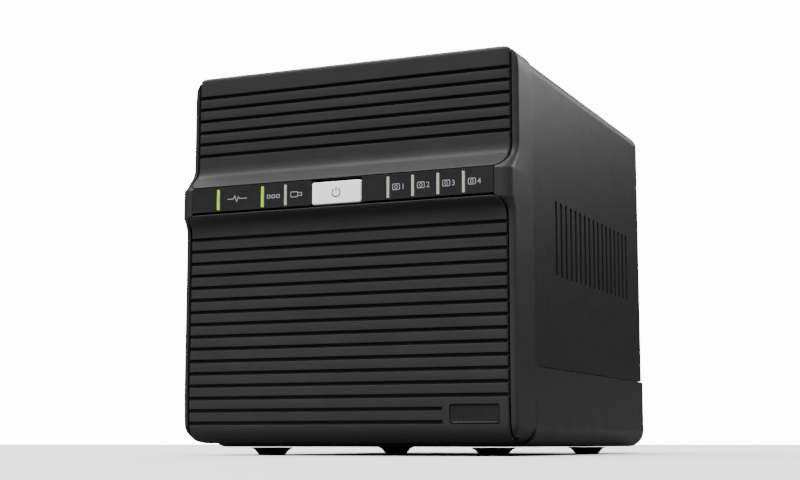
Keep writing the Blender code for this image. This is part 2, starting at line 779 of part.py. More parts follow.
def fan_slots(bm):
    """Level slots that fill a circle in front of each fan."""
    for z in FAN_Z.values():
        for k in range(-GRILLE_ROWS, GRILLE_ROWS + 1):
            height = GRILLE_PITCH * k
            half = math.sqrt(GRILLE_RADIUS**2 - height**2)
            low = (FAN_X - half, DOOR_FACE - OVER, z + height - GRILLE_SLOT / 2)
            add_box(bm, low, (FAN_X + half, DOOR_FACE + OVER, z + height + GRILLE_SLOT / 2))
    return bm


def fan_door(surface):
    """The panel that folds down on its bottom edge and carries both fans."""
    origin = (0.0, HINGE_Y, HINGE_Z)
    wall = add_box(
        new(), (DOOR_LEFT, DOOR_FACE - DOOR_WALL, HINGE_Z), (DOOR_RIGHT, DOOR_FACE, DOOR_TOP)
    )
    part = make_part("fan_door", wall, surface, origin)
    knuckle = add_rod(
        new(), (DOOR_LEFT, HINGE_Y, HINGE_Z), DOOR_RIGHT - DOOR_LEFT, KNUCKLE_RADIUS, X, 20
    )
    join(part, knuckle)
    cut(part, fan_slots(new()))
    holes = new()
    for x in SCREW_X.values():
        add_rod(holes, (x, DOOR_FACE - OVER, SCREW_Z), OVER * 2, SCREW_HOLE, segments=16)
    bore = PIN_RADIUS + GAP
    add_rod(holes, (DOOR_LEFT - 0.001, HINGE_Y, HINGE_Z), 0.0050, bore, X, 16)
    add_rod(holes, (DOOR_RIGHT - 0.004, HINGE_Y, HINGE_Z), 0.0050, bore, X, 16)
    cut(part, holes)
    return part


def hinge_pins(surface):
    length = 0.0062
    for side, start in (("left", DOOR_LEFT - 0.0027), ("right", DOOR_RIGHT - 0.0035)):
        pin = add_rod(new(), (start, HINGE_Y, HINGE_Z), length, PIN_RADIUS, X, 16)
        make_part(f"hinge_pin_{side}", pin, surface, (start, HINGE_Y, HINGE_Z), smooth=40)


def thumb_screws(surface):
    """Captive screws with grooved heads that hold the door shut."""
    face = DOOR_FACE + GAP
    tip = 0.1045
    for side, x in SCREW_X.items():
        head = add_rod(new(), (x, face, SCREW_Z), BACK - face, SCREW_HEAD, segments=24)
        part = make_part(f"thumb_screw_{side}", head, surface, (x, DOOR_FACE, SCREW_Z), smooth=30)
        join(part, add_rod(new(), (x, tip, SCREW_Z), 0.0080, SCREW_SHANK, segments=16))
        low = (x - OVER, BACK - 0.0010, SCREW_Z - 0.0005)
        cut(part, add_box(new(), low, (x + OVER, BACK + OVER, SCREW_Z + 0.0005)))


def fan_frame(name, z, surface):
    """A square frame with a round duct, and a hub on four arms at its back."""
    front = FAN_BACK - FAN_DEPTH
    half = FAN_SIZE / 2
    outline = rounded(FAN_X - half, FAN_X + half, z - half, z + half, 0.004, 0.004, 3)
    part = make_part(name, add_plate(new(), outline, Y, front, FAN_BACK), surface, (FAN_X, FAN_BACK, z))
    through = FAN_DEPTH + OVER * 2
    start = front - OVER
    cut(part, add_rod(new(), (FAN_X, start, z), through, DUCT_RADIUS, segments=40))
    arm = 0.002
    reach = half - 0.0005
    for wide, high, inset in ((reach, arm, 0.0005), (arm, reach, 0.0006)):
        low = (FAN_X - wide, FAN_BACK - 0.0040 + inset, z - high)
        join(part, add_box(new(), low, (FAN_X + wide, FAN_BACK - inset, z + high)))
    join(part, add_rod(new(), (FAN_X, FAN_BACK - 0.0040, z), 0.0037, HUB_RADIUS, segments=28))
    cut(part, add_rod(new(), (FAN_X, start, z), through, 0.0018, segments=16))
    bolts = new()
    for x in (-FAN_BOLT, FAN_BOLT):
        for lift in (-FAN_BOLT, FAN_BOLT):
            add_rod(bolts, (FAN_X + x, start, z + lift), through, 0.00215, segments=10)
    cut(part, bolts)
    return part


def add_blade(bm, centre, angle):
    """One twisted blade, lofted from its root to its tip."""
    root = HUB_RADIUS - 0.001
    rings = []
    for k in range(4):
        share = k / 3
        radius = root + (BLADE_RADIUS - root) * share
        pitch = math.radians(52 - 22 * share)
        half = 0.0085 + 0.0035 * share
        sweep = math.radians(10) * share
        ring = []
        for along, thick in ((-half, -1), (half, -1), (half, 1), (-half, 1)):
            across = along * math.cos(pitch) + thick * 0.0006 * math.sin(pitch)
            deep = along * math.sin(pitch) - thick * 0.0006 * math.cos(pitch)
            turn = angle + sweep + across / radius
            place = (radius * math.cos(turn), deep, radius * math.sin(turn))
            ring.append(bm.verts.new([c + p for c, p in zip(centre, place)]))
        rings.append(ring)
    for lower, upper in zip(rings, rings[1:]):
        for k in range(4):
            after = (k + 1) % 4
            bm.faces.new((lower[k], lower[after], upper[after], upper[k]))
    bm.faces.new(rings[0])
    bm.faces.new(rings[-1])
    return bm


def fan_rotor(name, z, surface):
    """Hub, shaft and seven blades."""
    back = FAN_BACK - 0.0045
    front = FAN_BACK - FAN_DEPTH + 0.0010
    hub = add_rod(new(), (FAN_X, front, z), back - front, HUB_RADIUS, segments=28)
    part = make_part(name, hub, surface, (FAN_X, back, z), smooth=30)
    join(part, add_rod(new(), (FAN_X, back - 0.001, z), 0.0035, 0.0014, segments=12))
    middle = (FAN_X, (front + back) / 2, z)
    for k in range(BLADES):
        join(part, add_blade(new(), middle, math.tau * k / BLADES))
    return part


# ---------------------------------------------------------------- main board


def main_board(surfaces):
    """The board that stands beside the cage, with what is soldered to it."""
    face = BOARD_X + BOARD_WALL + GAP
    low = (BOARD_X, -0.0700, BOARD_LOW)
    high = (BOARD_X + BOARD_WALL, 0.1070, BOARD_HIGH)
    make_part("main_board", add_box(new(), low, high), surfaces["board"])
    middle_y, middle_z = CHIP
    chip_half = 0.010
    chip = add_box(
        new(),
        (face, middle_y - chip_half, middle_z - chip_half),
        (face + 0.0020, middle_y + chip_half, middle_z + chip_half),
    )
    make_part("processor", chip, surfaces["black"])
    base = face + 0.0020 + GAP
    half = 0.020
    sink = add_box(
        new(),
        (base, middle_y - half, middle_z - half),
        (base + SINK_HEIGHT, middle_y + half, middle_z + half),
    )
    part = make_part("heat_sink", sink, surfaces["alloy"])
    valleys = new()
    for k in range(SINK_VALLEYS):
        y = middle_y - half + 0.0020 + SINK_PITCH * k
        low = (base + SINK_HEIGHT / 5, y, middle_z - half - OVER)
        add_box(valleys, low, (base + SINK_HEIGHT * 2, y + 0.0024, middle_z + half + OVER))
    cut(part, valleys)
    place = (face, 0.0400, 0.1250)
    cell = add_rod(new(), place, 0.0032, 0.0100, X, 24)
    make_part("clock_battery", cell, surfaces["steel"], place, smooth=40)


def lan_socket(surface):
    """A shielded eight-pole socket, open to the back."""
    left, right, low, high = LAN
    shell = add_box(new(), (left, 0.0900, low), (right, SOCKET_FACE, high))
    part = make_part("lan_socket", shell, surface)
    floor = 0.0980
    wall = 0.0012
    start = (left + 0.0022, floor, low + wall)
    cut(part, add_box(new(), start, (right - 0.0050, REACH, high - wall)))
    latch = 0.0040
    start = (right - 0.0060, floor, low + latch)
    cut(part, add_box(new(), start, (right - 0.0015, REACH, high - latch)))
    return part


def usb_socket(name, place, surface):
    """A shell around a tongue, open to the back."""
    left, right, low, high = place
    shell = add_box(new(), (left, 0.0950, low), (right, SOCKET_FACE, high))
    part = make_part(name, shell, surface)
    wall = 0.0005
    cut(part, add_box(new(), (left + wall, 0.0990, low + wall), (right - wall, REACH, high - wall)))
    tongue = add_box(
        new(),
        (left + 0.0036, 0.0980, low + 0.0015),
        (left + 0.0054, SOCKET_FACE - 0.0012, high - 0.0015),
    )
    join(part, tongue)
    return part


def power_socket(surface):
    """A round inlet with its pin, in a square block."""
    left, right, low, high = POWER
    block = add_box(new(), (left, 0.0970, low), (right, SOCKET_FACE, high))
    part = make_part("power_socket", block, surface)
    x, z = (left + right) / 2, (low + high) / 2
    cut(part, add_rod(new(), (x, 0.1010, z), REACH / 5, 0.0033, segments=24))
    join(part, add_rod(new(), (x, 0.1000, z), 0.0100, 0.0010, segments=12))
    return part


def reset_pieces(surfaces):
    """A switch on the board, and the plunger that a pin presses through the rear frame."""
    x, z = RESET
    half = 0.003
    face = BOARD_X + BOARD_WALL + GAP
    body = add_box(new(), (face, 0.0980, z - half), (x + half, 0.1020, z + half))
    make_part("reset_switch", body, surfaces["black"])
    start = 0.1031
    length = REAR_FACE - 0.0005 - start
    plunger = add_rod(new(), (x, start, z), length, 0.0014, segments=16)
    part = make_part("reset_button", plunger, surfaces["black"], (x, start, z), smooth=40)
    join(part, add_rod(new(), (x, start + 0.0019, z), 0.0015, 0.0026, segments=16))


def main():
    start_scene()
    surfaces = {
        "shell": make_material("shell_plastic", (0.030, 0.031, 0.033), 0.55),
        "cover": make_material("cover_paint", (0.026, 0.027, 0.029), 0.60),
        "lens": make_material("lens_gloss", (0.010, 0.010, 0.012), 0.12),
        "green": make_material("light_green", (0.35, 0.62, 0.06), 0.30),
        "clear": make_material("light_clear", (0.55, 0.58, 0.48), 0.30),
        "button": make_material("button_silver", (0.72, 0.73, 0.75), 0.32, 0.3),
        "badge": make_material("badge_dark", (0.018, 0.018, 0.020), 0.30),
        "rubber": make_material("foot_rubber", (0.012, 0.012, 0.012), 0.85),
        "steel": make_material("steel_sheet", (0.52, 0.53, 0.54), 0.38, 1.0),
        "alloy": make_material("drive_alloy", (0.60, 0.61, 0.62), 0.35, 1.0),
        "board": make_material("board_green", (0.020, 0.110, 0.045), 0.45),
        "black": make_material("connector_black", (0.015, 0.015, 0.016), 0.45),
        "cable": make_material("cable_grey", (0.35, 0.35, 0.34), 0.55),
        "fan": make_material("fan_black", (0.018, 0.018, 0.020), 0.40),
    }
    front_frame(surfaces["shell"])
    upper_panel(surfaces["shell"])
    lower_panel(surfaces["shell"])
    badge_plate(surfaces["badge"])
    inner_end = BUTTON_HALF + 0.0005
    indicator_strip("indicator_strip_left", -STRIP_END, -inner_end, surfaces["lens"])
    indicator_strip("indicator_strip_right", inner_end, STRIP_END, surfaces["lens"])
    light_guides(surfaces)
    power_button(surfaces["button"])
    front_electronics(surfaces)
    base_tub(surfaces["shell"])
    top_cover(surfaces["cover"])
    feet(surfaces["rubber"])
    drive_cage(surfaces["steel"])
    backplane(surfaces)
    for bay in range(BAYS):
        drive_tray(bay, surfaces["black"])
        hard_drive(bay, surfaces["alloy"])
    rear_frame(surfaces["shell"])
    fan_door(surfaces["shell"])
    hinge_pins(surfaces["steel"])
    thumb_screws(surfaces["steel"])
    for place, z in FAN_Z.items():
        fan_frame(f"fan_frame_{place}", z, surfaces["fan"])
        fan_rotor(f"fan_rotor_{place}", z, surfaces["fan"])
    main_board(surfaces)
    lan_socket(surfaces["steel"])
    for place, box in USB.items():
        usb_socket(f"usb_socket_{place}", box, surfaces["steel"])
    power_socket(surfaces["black"])
    reset_pieces(surfaces)


main()
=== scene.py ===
"""The looks of the network storage box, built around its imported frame. Metres, +Z up, front towards -Y."""

import json
import math
import random

import bmesh
import bpy
from mathutils import Matrix, Vector


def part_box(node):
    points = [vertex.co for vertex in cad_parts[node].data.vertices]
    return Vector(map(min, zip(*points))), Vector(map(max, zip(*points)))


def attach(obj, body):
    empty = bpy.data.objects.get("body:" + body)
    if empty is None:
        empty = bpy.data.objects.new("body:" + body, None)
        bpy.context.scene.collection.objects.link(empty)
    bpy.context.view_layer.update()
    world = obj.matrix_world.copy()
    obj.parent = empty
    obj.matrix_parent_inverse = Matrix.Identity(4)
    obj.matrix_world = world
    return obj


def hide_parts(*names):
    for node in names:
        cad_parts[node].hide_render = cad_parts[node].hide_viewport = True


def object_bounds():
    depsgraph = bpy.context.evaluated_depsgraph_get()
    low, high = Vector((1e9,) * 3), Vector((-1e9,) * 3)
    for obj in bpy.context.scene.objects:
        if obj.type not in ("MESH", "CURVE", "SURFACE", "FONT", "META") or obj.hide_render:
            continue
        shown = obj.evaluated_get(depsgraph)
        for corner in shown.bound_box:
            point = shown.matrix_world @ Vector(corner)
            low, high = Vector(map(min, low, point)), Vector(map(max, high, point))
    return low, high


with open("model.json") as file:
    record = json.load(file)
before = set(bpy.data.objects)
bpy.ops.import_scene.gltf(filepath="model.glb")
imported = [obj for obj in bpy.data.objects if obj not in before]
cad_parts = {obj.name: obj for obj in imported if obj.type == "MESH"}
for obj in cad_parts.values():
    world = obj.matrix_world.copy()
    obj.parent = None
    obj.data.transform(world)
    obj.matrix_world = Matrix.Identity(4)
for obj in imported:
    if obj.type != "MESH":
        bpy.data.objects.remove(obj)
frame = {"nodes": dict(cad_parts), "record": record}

CAD_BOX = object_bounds()
LOW, HIGH = CAD_BOX

# ---------------------------------------------------------------- sizes

X, Y, Z = 0, 1, 2
HALF = HIGH.x
FRONT = LOW.y
TOP = HIGH.z
GAP = 0.0003
BEFORE = -0.14  # in front of everything: where cutters start
BEHIND = -0.05  # behind the front frame: where cutters end
BESIDE = 0.09  # beyond either side
PASSES = 0.01  # how far a cutter passes a surface

# the front's outline
UPPER_FACE = FRONT + 0.0119
LOWER_FACE = FRONT + 0.0061
FRAME_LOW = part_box("front_frame")[0].z
FRAME_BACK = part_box("front_frame")[1].y
TOP_EDGE = 0.0025
BOTTOM_EDGE = 0.009
TOP_CORNER = 0.008
BOTTOM_CORNER = 0.009
FLARE_TOP = 0.1392
FLARE_FOOT = 0.1051
FLARE_ZONE = (0.1035, 0.1420)
FLARE_UPPER = 0.008
FLARE_LOWER = 0.006
FLARE_ANGLE = math.radians(52)
EASE_TOP = 0.036
EASE = 1.5
SIDE_EDGE = 0.0025
BAND_EDGE = 0.006

# the ring's openings
RIM_STEP = 0.0006
RIM_CORNER = 0.003
UPPER_RIM = 0.0039  # how far the rim over the upper plate lies behind its face
LOWER_RIM = 0.0139  # the same below the lower plate
BRIDGE = (-0.1065, -0.1040)  # front and back of the web behind the band
BRIDGE_LOW = 0.1095
BRIDGE_HIGH = 0.1300
BAND_LOW = 0.1120
BUTTON_HOLE = 0.0026

# the ribbed plates
PANEL_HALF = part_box("upper_panel")[1].x
PANEL_GAP = 0.001
PANEL_WALL = 0.0028
PANEL_CORNER = 0.005
SIDE_CHAMFER = 0.0011
LEVEL_CHAMFER = 0.0004
GROOVE = 0.0017
GROOVE_DEPTH = 0.0019
GROOVE_LIP = 0.00022
LOWER_GROOVES = [0.0149 + 0.00584 * k for k in range(16)]
UPPER_GROOVES = [0.1446 + 0.00580 * k for k in range(6)]
BADGE_LAND = 0.0495

# the band
BAND_MIDDLE = 0.1203
STRIP_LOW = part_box("indicator_strip_left")[0].z
STRIP_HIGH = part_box("indicator_strip_left")[1].z
STRIP_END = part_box("indicator_strip_right")[1].x
SEAM_ABOVE = 0.0006
SEAM_BELOW = 0.0012
LEGEND = (FRONT + 0.00034, FRONT + 0.0008)
LIGHTS = ["status_light", "lan_light", "usb_light"] + [f"disk_light_{bay}" for bay in range(1, 5)]

# the cover and the tub
SHELL_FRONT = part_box("base_tub")[0].y
COVER_STEP = 0.0008
COVER_WALL = 0.0015
TUB_TOP = 0.0400
TUB_EAR = 0.0080
TUB_FLOOR = 0.0025
TUB_WALL = 0.0020
TUB_CORNER = 0.009
VENTS = 17
VENT_PITCH = 0.0081
VENT_START = -0.0460
VENT_WIDTH = 0.0030
VENT_REACH = (0.0840, 0.1210)
FLOOR_SLOTS = 9
FLOOR_SLOT_PITCH = 0.010
FLOOR_SLOT_REACH = (-0.030, 0.045)

# the back
DOOR_FACE = 0.1116
FAN_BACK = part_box("fan_frame_lower")[1].y
FAN_MIDDLE = -0.0220
FAN_HEIGHTS = {"lower": 0.0527, "upper": 0.1331}
FAN_SCREW = 0.03575  # from a fan's middle to its screws, across and up
HUB = 0.0170
BLADES = 7
BLADE_TIP = 0.0366

BODY_OF = {node: name for name, nodes in frame["record"]["behaviour"]["bodies"].items() for node in nodes}
SLOT_OF = {entry["node"]: entry["material_slot"] for entry in frame["record"]["subparts"]}

# ---------------------------------------------------------------- materials


def add(tree, kind, **values):
    """A node with its settings, and its inputs by name where a name isn't a setting."""
    node = tree.nodes.new(kind)
    for key, value in values.items():
        if hasattr(node, key):
            setattr(node, key, value)
        else:
            node.inputs[key.replace("_", " ")].default_value = value
    return node


def noise(tree, scale, detail=3.0, roughness=0.55, stretch=None):
    """Noise that is fixed to the object, with a size in cycles a metre."""
    place = add(tree, "ShaderNodeTexCoord")
    vector = place.outputs["Object"]
    if stretch:
        mapping = add(tree, "ShaderNodeMapping")
        mapping.inputs["Scale"].default_value = stretch
        tree.links.new(vector, mapping.inputs["Vector"])
        vector = mapping.outputs["Vector"]
    texture = add(tree, "ShaderNodeTexNoise", Scale=scale, Detail=detail, Roughness=roughness)
    tree.links.new(vector, texture.inputs["Vector"])
    return texture.outputs["Fac"]


def spread(tree, value, low, high, start=0.35, end=0.65):
    """A value from a noise, moved to the range from low to high."""
    node = add(tree, "ShaderNodeMapRange")
    node.inputs["From Min"].default_value = start
    node.inputs["From Max"].default_value = end
    node.inputs["To Min"].default_value = low
    node.inputs["To Max"].default_value = high
    tree.links.new(value, node.inputs["Value"])
    return node.outputs["Result"]


def tint(tree, value, dark, light):
    """A colour between two, by a value from 0 to 1."""
    node = add(tree, "ShaderNodeMix", data_type="RGBA")
    node.inputs["A"].default_value = (*dark, 1.0)
    node.inputs["B"].default_value = (*light, 1.0)
    tree.links.new(value, node.inputs["Factor"])
    return node.outputs["Result"]


def surface(
    name, colour, roughness, metallic=0.0, shift=0.12, mottle=40.0, grain=None, brush=None, specular=0.5
):
    """A material whose colour and gloss vary a little over it, with a moulded grain or a brushed one."""
    made = bpy.data.materials.new(name)
    made.use_nodes = True
    tree = made.node_tree
    shader = tree.nodes["Principled BSDF"]
    shader.inputs["Metallic"].default_value = metallic
    shader.inputs["Specular IOR Level"].default_value = specular
    cloud = noise(tree, mottle, 4.0)
    dark = [c * (1 - shift) for c in colour]
    light = [min(c * (1 + shift), 1.0) for c in colour]
    tree.links.new(tint(tree, spread(tree, cloud, 0, 1), dark, light), shader.inputs["Base Color"])
    smear = noise(tree, mottle * 2.3, 5.0, 0.6, brush)
    gloss = spread(tree, smear, roughness * (1 - shift), min(roughness * (1 + shift), 1.0))
    tree.links.new(gloss, shader.inputs["Roughness"])
    if grain:
        scale, depth = grain
        bump = add(tree, "ShaderNodeBump", Strength=0.6, Distance=depth)
        tree.links.new(noise(tree, scale, 2.0, 0.5, brush), bump.inputs["Height"])
        tree.links.new(bump.outputs["Normal"], shader.inputs["Normal"])
    return made


def lit(name, colour, strength, core):
    """A clear guide that glows, a little brighter towards its middle."""
    made = surface(name, colour, 0.28, shift=0.06, mottle=300.0, grain=(2500.0, 0.00002))
    tree = made.node_tree
    shader = tree.nodes["Principled BSDF"]
    shader.inputs["Emission Strength"].default_value = strength
    cloud = spread(tree, noise(tree, 260.0, 2.0), 0, 1)
    tree.links.new(tint(tree, cloud, core, colour), shader.inputs["Emission Color"])
    return made


def make_surfaces():
    """Every finish by name: the record's material slots, then those of the added pieces."""
    return {
        "ink": surface("legend_ink", (0.23, 0.235, 0.24), 0.5, shift=0.06, mottle=500.0),
        "mark": surface("button_mark", (0.035, 0.036, 0.038), 0.4, shift=0.08, mottle=500.0),
        "screw": surface("screw_steel", (0.30, 0.30, 0.31), 0.36, 1.0, 0.10, 300.0, (2400.0, 0.00001)),
        "gold": surface("contact_gold", (0.80, 0.56, 0.20), 0.28, 1.0, 0.08, 300.0),
        "label": surface("blank_label", (0.62, 0.62, 0.60), 0.55, 0.0, 0.05, 120.0, (2000.0, 0.00001)),
        "shell": surface(
            "shell_plastic", (0.024, 0.0243, 0.0250), 0.42, shift=0.05, grain=(4200.0, 0.00003), specular=0.3
        ),
        "cover": surface(
            "cover_paint", (0.015, 0.0152, 0.0157), 0.40,
            shift=0.04, mottle=60.0, grain=(3600.0, 0.00003), specular=0.3,
        ),
        "lens": surface("lens_gloss", (0.017, 0.017, 0.018), 0.22, mottle=60.0, grain=(900.0, 0.000004)),
        "light_green": lit("light_green", (0.25, 0.43, 0.05), 0.44, (0.58, 0.80, 0.20)),
        "light_clear": lit("light_clear", (0.31, 0.33, 0.265), 0.06, (0.60, 0.62, 0.50)),
        "button": surface("button_silver", (0.86, 0.875, 0.91), 0.30, 0.0, 0.04, 120.0, (5000.0, 0.00001)),
        "badge": surface("badge_dark", (0.014, 0.014, 0.015), 0.24, grain=(6000.0, 0.00001)),
        "rubber": surface("foot_rubber", (0.010, 0.010, 0.010), 0.80, grain=(1800.0, 0.00008)),
        "steel": surface(
            "steel_sheet", (0.46, 0.47, 0.48), 0.34, 1.0, 0.10, 90.0, (900.0, 0.00001), (1, 12, 1)
        ),
        "alloy": surface("drive_alloy", (0.50, 0.51, 0.52), 0.36, 1.0, 0.10, 70.0, (1500.0, 0.00002)),
        "board": surface("board_green", (0.012, 0.075, 0.030), 0.38, 0.0, 0.22, 160.0, (700.0, 0.00002)),
        "black": surface("connector_black", (0.014, 0.014, 0.015), 0.42, grain=(3000.0, 0.00003)),
        "cable": surface(
            "cable_grey", (0.30, 0.30, 0.29), 0.50, 0.0, 0.10, 90.0, (1300.0, 0.00003), (1, 1, 14)
        ),
        "fan": surface("fan_black", (0.016, 0.016, 0.017), 0.34, grain=(2600.0, 0.00002)),
    }


# ---------------------------------------------------------------- shapes


def add_box(bm, low, high):
    made = bmesh.ops.create_cube(bm, size=1.0)
    size = [b - a for a, b in zip(low, high)]
    centre = [(a + b) / 2 for a, b in zip(low, high)]
    place = Matrix.Translation(centre) @ Matrix.Diagonal((*size, 1.0))
    bmesh.ops.transform(bm, matrix=place, verts=made["verts"])
    return bm


def add_rod(bm, start, length, radius):
    """A round bar that starts at a point and runs towards the back."""
    turn = Matrix.Rotation(-math.pi / 2, 4, "X")
    place = Matrix.Translation(start) @ turn @ Matrix.Translation((0, 0, length / 2))
    bmesh.ops.create_cone(
        bm, cap_ends=True, segments=32, radius1=radius, radius2=radius, depth=length, matrix=place
    )
    return bm


def add_plate(bm, outline, axis, low, high):
    """A flat outline, given in the two other axes, extruded along an axis."""
    corners = []
    for point in outline:
        place = list(point)
        place.insert(axis, low)
        corners.append(bm.verts.new(place))
    grown = bmesh.ops.extrude_face_region(bm, geom=[bm.faces.new(corners)])
    shift = [0.0, 0.0, 0.0]
    shift[axis] = high - low
    moved = [g for g in grown["geom"] if isinstance(g, bmesh.types.BMVert)]
    bmesh.ops.translate(bm, vec=shift, verts=moved)
    return bm


def arc(centre, radius, start, end, steps):
    """Points on an arc, its ends included, with angles in degrees."""
    points = []
    for k in range(steps + 1):
        angle = math.radians(start + (end - start) * k / steps)
        points.append((centre[0] + radius * math.cos(angle), centre[1] + radius * math.sin(angle)))
    return points


def rounded(left, right, low, high, bottom=0.0, top=0.0, steps=6):
    """A rectangle's outline with a radius for its bottom and its top corners."""
    points = []
    for x, side, z, radius, start in (
        (right, -1, low, bottom, 270),
        (right, -1, high, top, 0),
        (left, 1, high, top, 90),
        (left, 1, low, bottom, 180),
    ):
        if radius == 0.0:
            points.append((x, z))
            continue
        rise = 1 if z == low else -1
        points += arc((x + side * radius, z + rise * radius), radius, start, start + 90, steps)
    return points


def add_loft(bm, rings):
    """A closed solid through rings of points that all have the same count."""
    made = [[bm.verts.new(point) for point in ring] for ring in rings]
    count = len(made[0])
    for lower, upper in zip(made, made[1:]):
        for k in range(count):
            after = (k + 1) % count
            bm.faces.new((lower[k], lower[after], upper[after], upper[k]))
    bm.faces.new(made[0])
    bm.faces.new(made[-1])
    return bm


def to_object(name, bm):
    """Ends a bmesh as an object, with its faces pointing out."""
    bmesh.ops.recalc_face_normals(bm, faces=bm.faces)
    mesh = bpy.data.meshes.new(name)
    bm.to_mesh(mesh)
    bm.free()
    made = bpy.data.objects.new(name, mesh)
    bpy.context.scene.collection.objects.link(made)
    return made


def evaluated(thing):
    """Turns an object's modifiers into its mesh."""
    bpy.context.view_layer.update()
    graph = bpy.context.evaluated_depsgraph_get()
    mesh = bpy.data.meshes.new_from_object(thing.evaluated_get(graph))
    old = thing.data
    thing.modifiers.clear()
    thing.data = mesh
    bpy.data.meshes.remove(old)


def boolean(thing, bm, operation="DIFFERENCE"):
    """Cuts a shape from a thing, or joins one to it."""
    tool = to_object(thing.name + "_tool", bm)
    step = thing.modifiers.new(operation, "BOOLEAN")
    step.operation = operation
    step.object = tool
    step.solver = "EXACT"
    evaluated(thing)
    bpy.data.meshes.remove(tool.data)


def clean(thing):
    """Welds what a cut left doubled and dissolves what is flat, so that edges can be rounded."""
    bm = bmesh.new()
    bm.from_mesh(thing.data)
    bmesh.ops.remove_doubles(bm, verts=bm.verts, dist=2e-6)
    bmesh.ops.dissolve_limit(bm, angle_limit=math.radians(0.3), verts=bm.verts, edges=bm.edges)
    bm.to_mesh(thing.data)
    bm.free()


def ease_edges(thing, width, segments=2, angle=35):
    step = thing.modifiers.new("edges", "BEVEL")
    step.width = width
    step.segments = segments
    step.limit_method = "ANGLE"
    step.angle_limit = math.radians(angle)
    step.use_clamp_overlap = True
    evaluated(thing)


def smooth(thing, angle=35):
    thing.data.shade_smooth()
    thing.data.set_sharp_from_angle(angle=math.radians(angle))


def weigh(thing):
    """Normals that keep large flat faces flat beside their rounded edges."""
    step = thing.modifiers.new("normals", "WEIGHTED_NORMAL")
    step.keep_sharp = True
    step.weight = 100
    evaluated(thing)


def settle(thing, body, material, nodes=(), angle=35):
    """Gives a piece its material, its shading, its body and the nodes it stands for."""
    thing.data.materials.clear()
    thing.data.materials.append(material)
    smooth(thing, angle)
    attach(thing, body)
    if nodes:
        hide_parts(*nodes)
    return thing


def add_ribbon(bm, points, width, low, high, closed=False, axis=Y):
    """A flat line of even width through points, with mitred corners, as thick as from low to high."""
    count = len(points)
    rings = []
    for k, point in enumerate(points):
        before = points[(k - 1) % count] if closed or k else point
        after = points[(k + 1) % count] if closed or k < count - 1 else point
        along = [Vector(point) - Vector(before), Vector(after) - Vector(point)]
        along = [v.normalized() for v in along if v.length > 1e-9]
        way = sum(along, Vector((0, 0))).normalized()
        side = Vector((-way.y, way.x)) * (width / 2 / max(way.dot(along[0]), 0.4))
        ring = []
        for sign, deep in ((-1, low), (1, low), (1, high), (-1, high)):
            place = list(Vector(point) + side * sign)
            place.insert(axis, deep)
            ring.append(bm.verts.new(place))
        rings.append(ring)
    if closed:
        rings.append(rings[0])
    else:
        bm.faces.new(rings[0])
        bm.faces.new(rings[-1])
    for one, two in zip(rings, rings[1:]):
        for k in range(4):
            bm.faces.new((one[k], one[(k + 1) % 4], two[(k + 1) % 4], two[k]))
    return bm


def add_turned(bm, centre, profile, axis=Z, segments=48):
    """A turned solid from (radius, height) points along an axis. It is closed where the radius is 0."""
    rings = []
    for radius, height in profile:
        ring = []
        for k in range(segments if radius > 0 else 1):
            a = math.tau * k / segments
            across = [radius * math.cos(a), radius * math.sin(a)]
            across.insert(axis, height)
            ring.append(bm.verts.new(Vector(centre) + Vector(across)))
        rings.append(ring)
    for one, two in zip(rings, rings[1:]):
        for k in range(segments):
            after = (k + 1) % segments
            quad = [one[k % len(one)], one[after % len(one)], two[after % len(two)], two[k % len(two)]]
            bm.faces.new(list(dict.fromkeys(quad)))
    return bm


def round_edge(outer, height, radius, steps=4):
    """(radius, height) points for the rounded rim of a turned end, from its side to its face."""
    points = []
    for k in range(steps + 1):
        a = math.radians(90 * k / steps)
        points.append((outer - radius + radius * math.cos(a), height - radius * (1 - math.sin(a))))
    return points


def softened(node, width, segments=2, angle=40):
    """A node with its edges rounded, which stands for it."""
    source = frame["nodes"][node]
    thing = bpy.data.objects.new(node + "_fine", source.data.copy())
    bpy.context.scene.collection.objects.link(thing)
    thing.data.transform(source.matrix_world)
    clean(thing)
    ease_edges(thing, width, segments, angle)
    settle(thing, BODY_OF[node], surfaces[SLOT_OF[node]], [node])
    weigh(thing)


def piece(name, bm, body, slot, nodes=(), angle=35, edges=0.0, material=None):
    """A new piece from a bmesh, with its edges rounded if a width is given."""
    thing = to_object(name, bm)
    if edges:
        ease_edges(thing, edges)
    settle(thing, body, material or surfaces[slot], nodes, angle)
    if edges:
        weigh(thing)
    return thing


# ---------------------------------------------------------------- front


def flare(travel, radius):
    """How far a concave flare has swung out, after this much height."""
    bend = radius * math.sin(FLARE_ANGLE)
    if travel <= bend:
        return radius - math.sqrt(radius**2 - travel**2)
    return radius * (1 - math.cos(FLARE_ANGLE)) + (travel - bend) * math.tan(FLARE_ANGLE)


def front_depth(z):
    """Y of the front surface at a height."""
    if z > TOP - TOP_EDGE:
        rise = z - (TOP - TOP_EDGE)
        return UPPER_FACE + TOP_EDGE - math.sqrt(max(TOP_EDGE**2 - rise**2, 0.0))
    if z > BAND_MIDDLE:
        return max(UPPER_FACE - flare(max(FLARE_TOP - z, 0.0), FLARE_UPPER), FRONT)
    depth = max(LOWER_FACE - flare(max(z - FLARE_FOOT, 0.0), FLARE_LOWER), FRONT)
    depth += EASE * max(EASE_TOP - z, 0.0) ** 2
    drop = FRAME_LOW + BOTTOM_EDGE - z
    if drop > 0:
        depth += BOTTOM_EDGE - math.sqrt(max(BOTTOM_EDGE**2 - drop**2, 0.0))
    return depth


def front_half_width(z):
    """Half the width of the front's outline at a height."""
    rise = z - (TOP - TOP_CORNER)
    if rise > 0:
        return HALF - TOP_CORNER + math.sqrt(max(TOP_CORNER**2 - rise**2, 0.0))
    drop = FRAME_LOW + BOTTOM_CORNER - z
    if drop > 0:
        return HALF - BOTTOM_CORNER + math.sqrt(max(BOTTOM_CORNER**2 - drop**2, 0.0))
    return HALF


